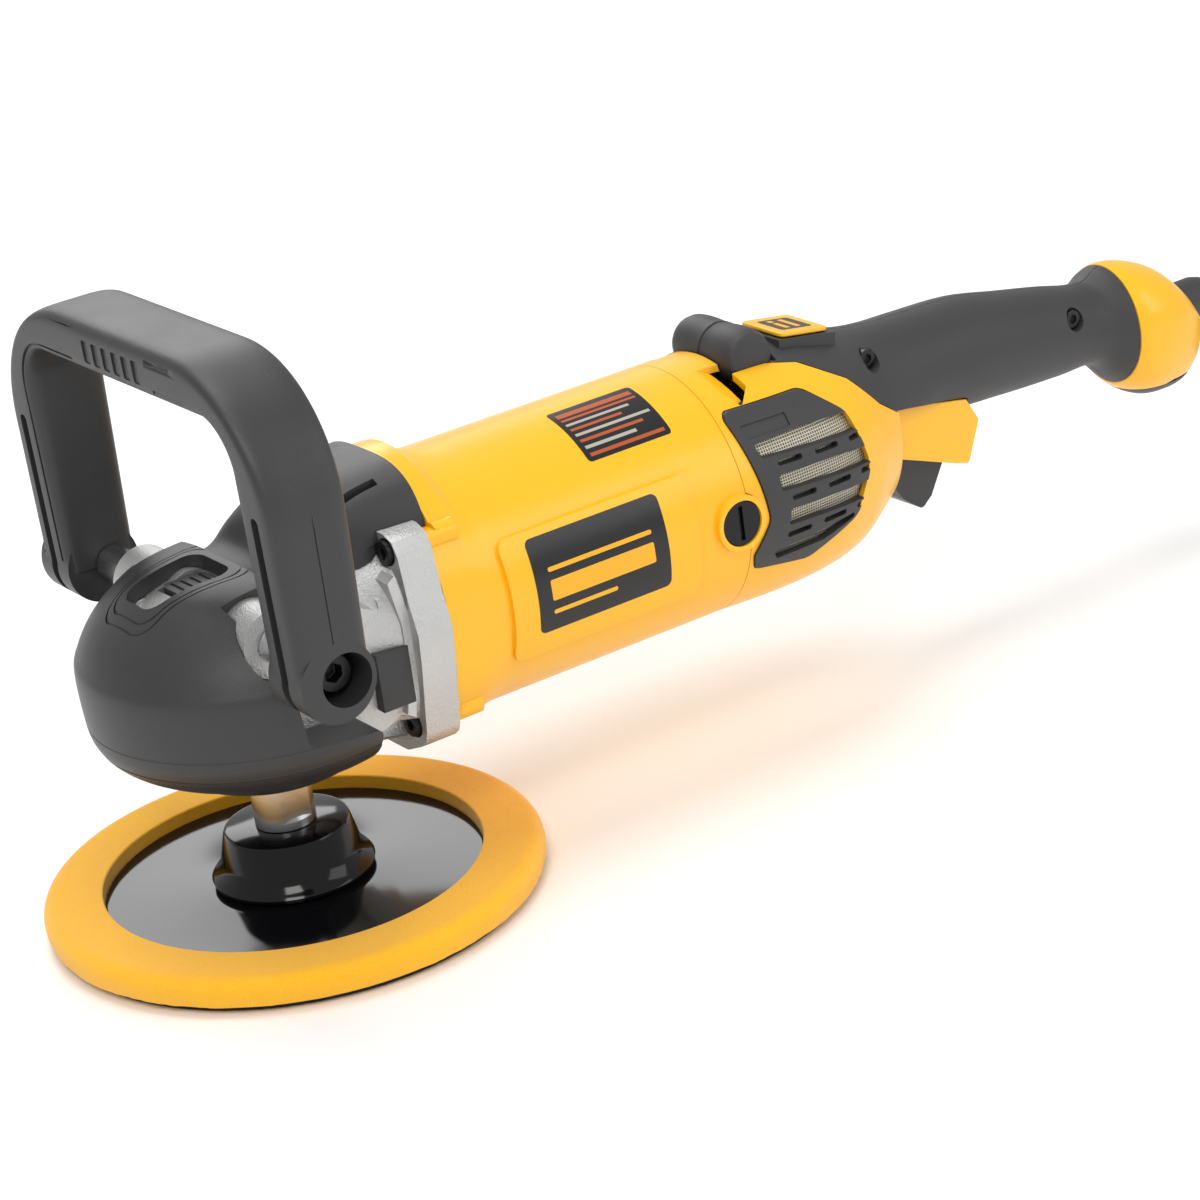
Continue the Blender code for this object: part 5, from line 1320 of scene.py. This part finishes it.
def build_grip():
    for side, word in ((-1, "left"), (1, "right")):
        half = skin("grip_half_" + word, rear_sections(0.0, 14), RUBBER)
        pedestal = box("badge_seat", mm(223, -14, 120), mm(249, 14, 140.6))
        turn = Matrix.Translation(mm(236, 0, 139)) @ Matrix.Rotation(math.radians(9), 4, "Y")
        pedestal.data.transform(turn @ Matrix.Translation(mm(-236, 0, -139)))
        join(half, pedestal)
        keep(half, housing_divide("grip_outline"))
        cut(half, skin("grip_room", rear_sections(3.2 * MM, 14)))
        for x, z, floor in GRIP_SCREWS:
            boss = rod("grip_boss", (x, -40 * MM, z), 80 * MM, 5.8 * MM, "y", None, 64)
            keep(boss, skin("boss_limit", rear_sections(1 * MM, 14)))
            join(half, boss)
            cut(half, rod("grip_screw_hole", (x, -40 * MM, z), 51 * MM, 2 * MM, "y", None, 32))
            cut(half, rod("grip_screw_recess", (x, -40 * MM, z), 40 * MM - floor, 4.4 * MM, "y", None, 64))
        x, z = WHEEL_AT
        room = WHEEL_HALF + GAP
        cut(half, rod("wheel_room", (x, -room, z), 2 * room, WHEEL_R + 0.6 * MM, "y", None, 96))
        low, high = sorted((side * GAP / 2, -side * 90 * MM))
        cut(half, box("other_half", (150 * MM, low, 20 * MM), (450 * MM, high, 200 * MM)))
        show(settle(half, 0.6 * MM, 34), "housing", "grip_" + word, slot="soft_grip")
    for (x, z, floor), word in zip(GRIP_SCREWS, ("front", "rear")):
        screw = rod("screw_" + word, (x, -floor - GAP - 2.6 * MM, z), 2.6 * MM, 3.6 * MM, "y", DARK_STEEL, 48)
        join(
            screw,
            rod("grip_shank", (x, -floor - GAP - 0.5 * MM, z), floor + 10 * MM, 1.6 * MM, "y", None, 32),
        )
        cut(screw, rod("grip_socket", (x, -floor - 6 * MM, z), 4.6 * MM, 1.9 * MM, "y", None, 6))
        show(settle(screw, 0.3 * MM), "housing", "grip_screw_" + word, slot="dark_steel")


def build_wheel():
    x, z = WHEEL_AT
    half = [
        (0, 0.9),
        (0.6, 0.9),
        (0.75, 0.2),
        (3, 0.35),
        (7, 0.02),
        (12, 0.0),
        (15.5, 0.35),
        (18, 1.4),
        (19, 3.2),
    ]
    profile = [(WHEEL_R - drop * MM, y * MM) for y, drop in half[::-1]]
    profile += [(WHEEL_R - drop * MM, -y * MM) for y, drop in half[1:]]
    outline = [(0, WHEEL_HALF), *profile, (0, -WHEEL_HALF)]
    wheel = turned("speed_dial", outline, RUBBER, "y", (x, 0, z), 144)
    show(settle(wheel, 0.2 * MM), "wheel", "speed_wheel", slot="soft_grip")


def build_badge():
    turn = Matrix.Translation(mm(236, 0, 139)) @ Matrix.Rotation(math.radians(9), 4, "Y")
    turn = turn @ Matrix.Translation(mm(-236, 0, -139))
    outline = rounded(spots((225, -12.5), (247, -12.5), (247, 12.5), (225, 12.5)), 2 * MM, 8)
    plate = prism("badge", outline, "z", 141 * MM, 142.6 * MM, YELLOW)
    plate.data.transform(turn)
    show(settle(plate, 0.5 * MM), "housing", "badge_plate", slot="yellow_housing")
    outline = rounded(spots((229, -8), (243, -8), (243, 8), (229, 8)), 1.2 * MM)
    inset = prism("badge_inset", outline, "z", 142.5 * MM, 142.68 * MM, LABEL)
    inset.data.transform(turn)
    show(settle(inset), "housing", slot="gloss_black")
    for i, (a, b) in enumerate(((-6, 2), (-6, 6), (3.4, 6))):
        x = (232, 237, 232)[i] * MM
        bar = box(f"badge_bar_{i + 1}", (x, a * MM, 142.6 * MM), (x + 2.2 * MM, b * MM, 142.74 * MM), PRINT)
        bar.data.transform(turn)
        show(settle(bar), "housing", slot="yellow_housing")


def build_guard():
    outline = rounded(
        [
            (264.4 * MM, 105.2 * MM - GAP),
            (306 * MM, 95.4 * MM - GAP),
            mm(312, 85),
            mm(304.5, 69.5),
            mm(298, 71.5),
            mm(264.4, 85),
        ],
        1.5 * MM,
        5,
    )
    guard = prism("switch_guard", outline, "y", -30 * MM, 30 * MM, YELLOW)
    plan = rounded(
        spots((262, -22), (280, -19), (318, -14), (318, 14), (280, 19), (262, 22)),
        2 * MM,
        6,
    )
    keep(guard, prism("guard_plan", plan, "z", 50 * MM, 120 * MM))
    cut(guard, box("guard_room", (265.6 * MM, -GUARD_CAVITY, 40 * MM), (302 * MM, GUARD_CAVITY, 120 * MM)))
    x, z = TRIGGER_PIVOT
    cut(guard, rod("pin_hole", (x, -15 * MM, z), 30 * MM, 2.3 * MM, "y", None, 32))
    show(settle(guard, 1.2 * MM, 28), "housing", "trigger_guard", slot="yellow_housing")


def build_trigger():
    x, z = TRIGGER_PIVOT
    corners = [
        (266.6 * MM, TRIGGER_TOP),
        mm(266.6, 77),
        mm(275.5, 62.4),
        mm(284, 56),
        mm(289, 60),
        mm(297, 73.7),
        mm(298, 84),
        (294 * MM, TRIGGER_TOP),
    ]
    outline = rounded(corners, [1 * MM, 4 * MM, 6 * MM, 2.2 * MM, 2.5 * MM, 4 * MM, 4 * MM, 1 * MM], 10)
    trigger = prism("trigger_blade", outline, "y", -TRIGGER_HALF, TRIGGER_HALF, BLACK)
    cut(trigger, rod("pivot_bore", (x, -20 * MM, z), 40 * MM, 2.2 * MM, "y", None, 32))
    show(settle(trigger, 0.9 * MM, 30), "trigger_lever", "trigger", slot="black_housing")


TAIL_EDGE = 391.0 * MM  # where the yellow tail cap starts


def build_tail():
    cap = skin("end_cap", rear_sections(0.0)[55:], YELLOW)
    edge = TAIL_EDGE + GAP
    ahead = spots((300, 175), (300, 28), (500, 28), (500, 71), (412, 71))
    ahead += [mm(409, 70), (edge, 70 * MM), (edge, 175 * MM)]
    cut(cap, prism("cap_front", ahead, "y", -80 * MM, 80 * MM))
    cut(cap, skin("cap_room", rear_sections(3.2 * MM)[55:76]))
    cut(cap, rod("relief_bore", (395 * MM, 0, CORD_Z), 60 * MM, RELIEF_R + GAP, "x", None, 96))
    show(settle(cap, 0.7 * MM, 34), "housing", "tail_cap", slot="yellow_housing")
    lip = skin("tail_lip", rear_sections(0.0)[55:], RUBBER)
    keep(lip, box("lip_edge", (TAIL_EDGE + 0.05 * MM, -60 * MM, 30 * MM), mm(500, 60, 69.7)))
    show(settle(lip, 0.7 * MM, 34), "housing", slot="soft_grip")
    outline = [(0, RELIEF_END), (CORD_R + 1.0 * MM, RELIEF_END), (CORD_R + 1.4 * MM, RELIEF_END - 0.6 * MM)]
    for i in range(5):
        at = RELIEF_END - (2.5 + 5 * i) * MM
        r = CORD_R + 1.5 * MM + i * 0.25 * MM
        outline += [(r, at), (r, at - 2.2 * MM), (r - 1.0 * MM, at - 2.6 * MM), (r - 1.0 * MM, at - 4.2 * MM)]
    outline += [
        (RELIEF_R - 1 * MM, TAIL_END + 16 * MM),
        (RELIEF_R, TAIL_END + 12 * MM),
        (RELIEF_R, 411 * MM),
        mm(0, 411),
    ]
    relief = turned("relief", outline, RUBBER, "x", (0, 0, CORD_Z), 96)
    show(settle(relief, 0.2 * MM), "housing", "strain_relief", slot="soft_grip")


WIRE_R = 0.3 * MM
SPRING_TURNS = 5
TURN_STEPS = 24  # straight pieces in one turn of wire


def build_springs():
    """The two return springs, wound from wire."""
    for name, x, r, low, high, joint, anchor, left in (
        ("trigger_spring", 277 * MM, 2.4 * MM, 96.15 * MM, 102.9 * MM, "trigger_pull", 102.9 * MM, 0.76),
        ("lock_spring", LOCK_X - 4 * MM, 2.1 * MM, 113.1 * MM, 116.8 * MM, "lock_press", 113.1 * MM, 0.06),
    ):
        curve = bpy.data.curves.new(name + "_wire", "CURVE")
        curve.dimensions = "3D"
        line = curve.splines.new("POLY")
        count = TURN_STEPS * SPRING_TURNS
        line.points.add(count)
        for i, point in enumerate(line.points):
            angle = 2 * math.pi * i / TURN_STEPS
            height = low + WIRE_R + (high - low - 2 * WIRE_R) * i / count
            point.co = (x + r * math.cos(angle), r * math.sin(angle), height, 1)
        curve.bevel_depth = WIRE_R
        curve.bevel_resolution = 2
        curve.use_fill_caps = True
        tube = bpy.data.objects.new(name + "_tube", curve)
        bpy.context.scene.collection.objects.link(tube)
        bpy.context.view_layer.update()
        mesh = bpy.data.meshes.new_from_object(tube.evaluated_get(bpy.context.evaluated_depsgraph_get()))
        bpy.data.objects.remove(tube)
        spring = finish(name, mesh, STEEL)
        mesh.shade_smooth()
        show(spring, "housing", name, slot="steel")
        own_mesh(spring)


build_pad()
build_springs()
build_gear_case()
build_head_cover()
build_lock()
build_saddle()
build_handle()
build_field_case()
build_rear_housing()
build_intakes()
build_caps()
build_grip()
build_wheel()
build_badge()
build_guard()
build_trigger()
build_tail()
for cutter in CUTTERS:
    bpy.data.objects.remove(cutter)

# ---- the parts that keep their CAD mesh ------------------------------------------------------
BY_SLOT = {
    "yellow_housing": YELLOW,
    "black_housing": BLACK,
    "soft_grip": RUBBER,
    "gloss_black": GLOSS,
    "pad_foam": FOAM,
    "hook_fabric": HOOKS,
    "cast_case": CAST,
    "steel": STEEL,
    "dark_steel": DARK_STEEL,
    "laminated_steel": DARK_STEEL,
    "copper": look("copper_wire", (0.62, 0.22, 0.09), 0.35, 0.9, grain=(900, 0.4, 0.0004), mottle=0.1),
    "brass": BRASS,
    "carbon": look("carbon_block", (0.03, 0.03, 0.032), 0.6, grain=(1600, 0.5, 0.0004), mottle=0.2),
    "intake_mesh": MESH,
}
for row in frame["record"]["subparts"]:
    node = frame["nodes"].get(row["node"])
    if node and not node.hide_render and row.get("material_slot") in BY_SLOT:
        for slot in node.material_slots:
            slot.material = BY_SLOT[row["material_slot"]]


# ---- the set ---------------------------------------------------------------------------------
FLOOR_HALF = 40.0
FLOOR_Z = -0.4 * MM
SKY_STRENGTH = 0.62
LAMPS = (  # name, place, size, power, colour
    ("key", (-0.9, -1.3, 1.7), 0.8, 17, (1.0, 0.99, 0.97)),
    ("fill", (1.5, -1.6, 1.1), 1.2, 9, (0.98, 0.99, 1.0)),
    ("top", (0.1, 0.3, 2.0), 1.0, 15, (1.0, 1.0, 1.0)),
    ("back", (0.7, 1.7, 1.2), 1.0, 10, (1.0, 1.0, 1.0)),
)
LAMP_AIM = (0.14, 0, 0.09)


def build_set():
    floor_mesh = bpy.data.meshes.new("floor")
    corners = [(x * FLOOR_HALF, y * FLOOR_HALF, FLOOR_Z) for x, y in ((-1, -1), (1, -1), (1, 1), (-1, 1))]
    floor_mesh.from_pydata(corners, [], [(0, 1, 2, 3)])
    floor = bpy.data.objects.new("floor", floor_mesh)
    bpy.context.scene.collection.objects.link(floor)
    floor_mesh.materials.append(look("studio_floor", (0.94, 0.94, 0.94), 0.75, mottle=0.004))
    world = bpy.data.worlds.new("studio")
    bpy.context.scene.world = world
    world.use_nodes = True
    sky = world.node_tree.nodes["Background"]
    sky.inputs["Color"].default_value = (1.0, 1.0, 1.0, 1)
    sky.inputs["Strength"].default_value = SKY_STRENGTH
    for name, place, size, power, colour in LAMPS:
        data = bpy.data.lights.new(name, "AREA")
        data.size = size
        data.energy = power
        data.color = colour
        lamp = bpy.data.objects.new(name, data)
        bpy.context.scene.collection.objects.link(lamp)
        aim = Vector(LAMP_AIM) - Vector(place)
        lamp.matrix_world = Matrix.Translation(place) @ aim.to_track_quat("-Z", "Y").to_matrix().to_4x4()


build_set()
bpy.context.scene.view_settings.view_transform = "Standard"
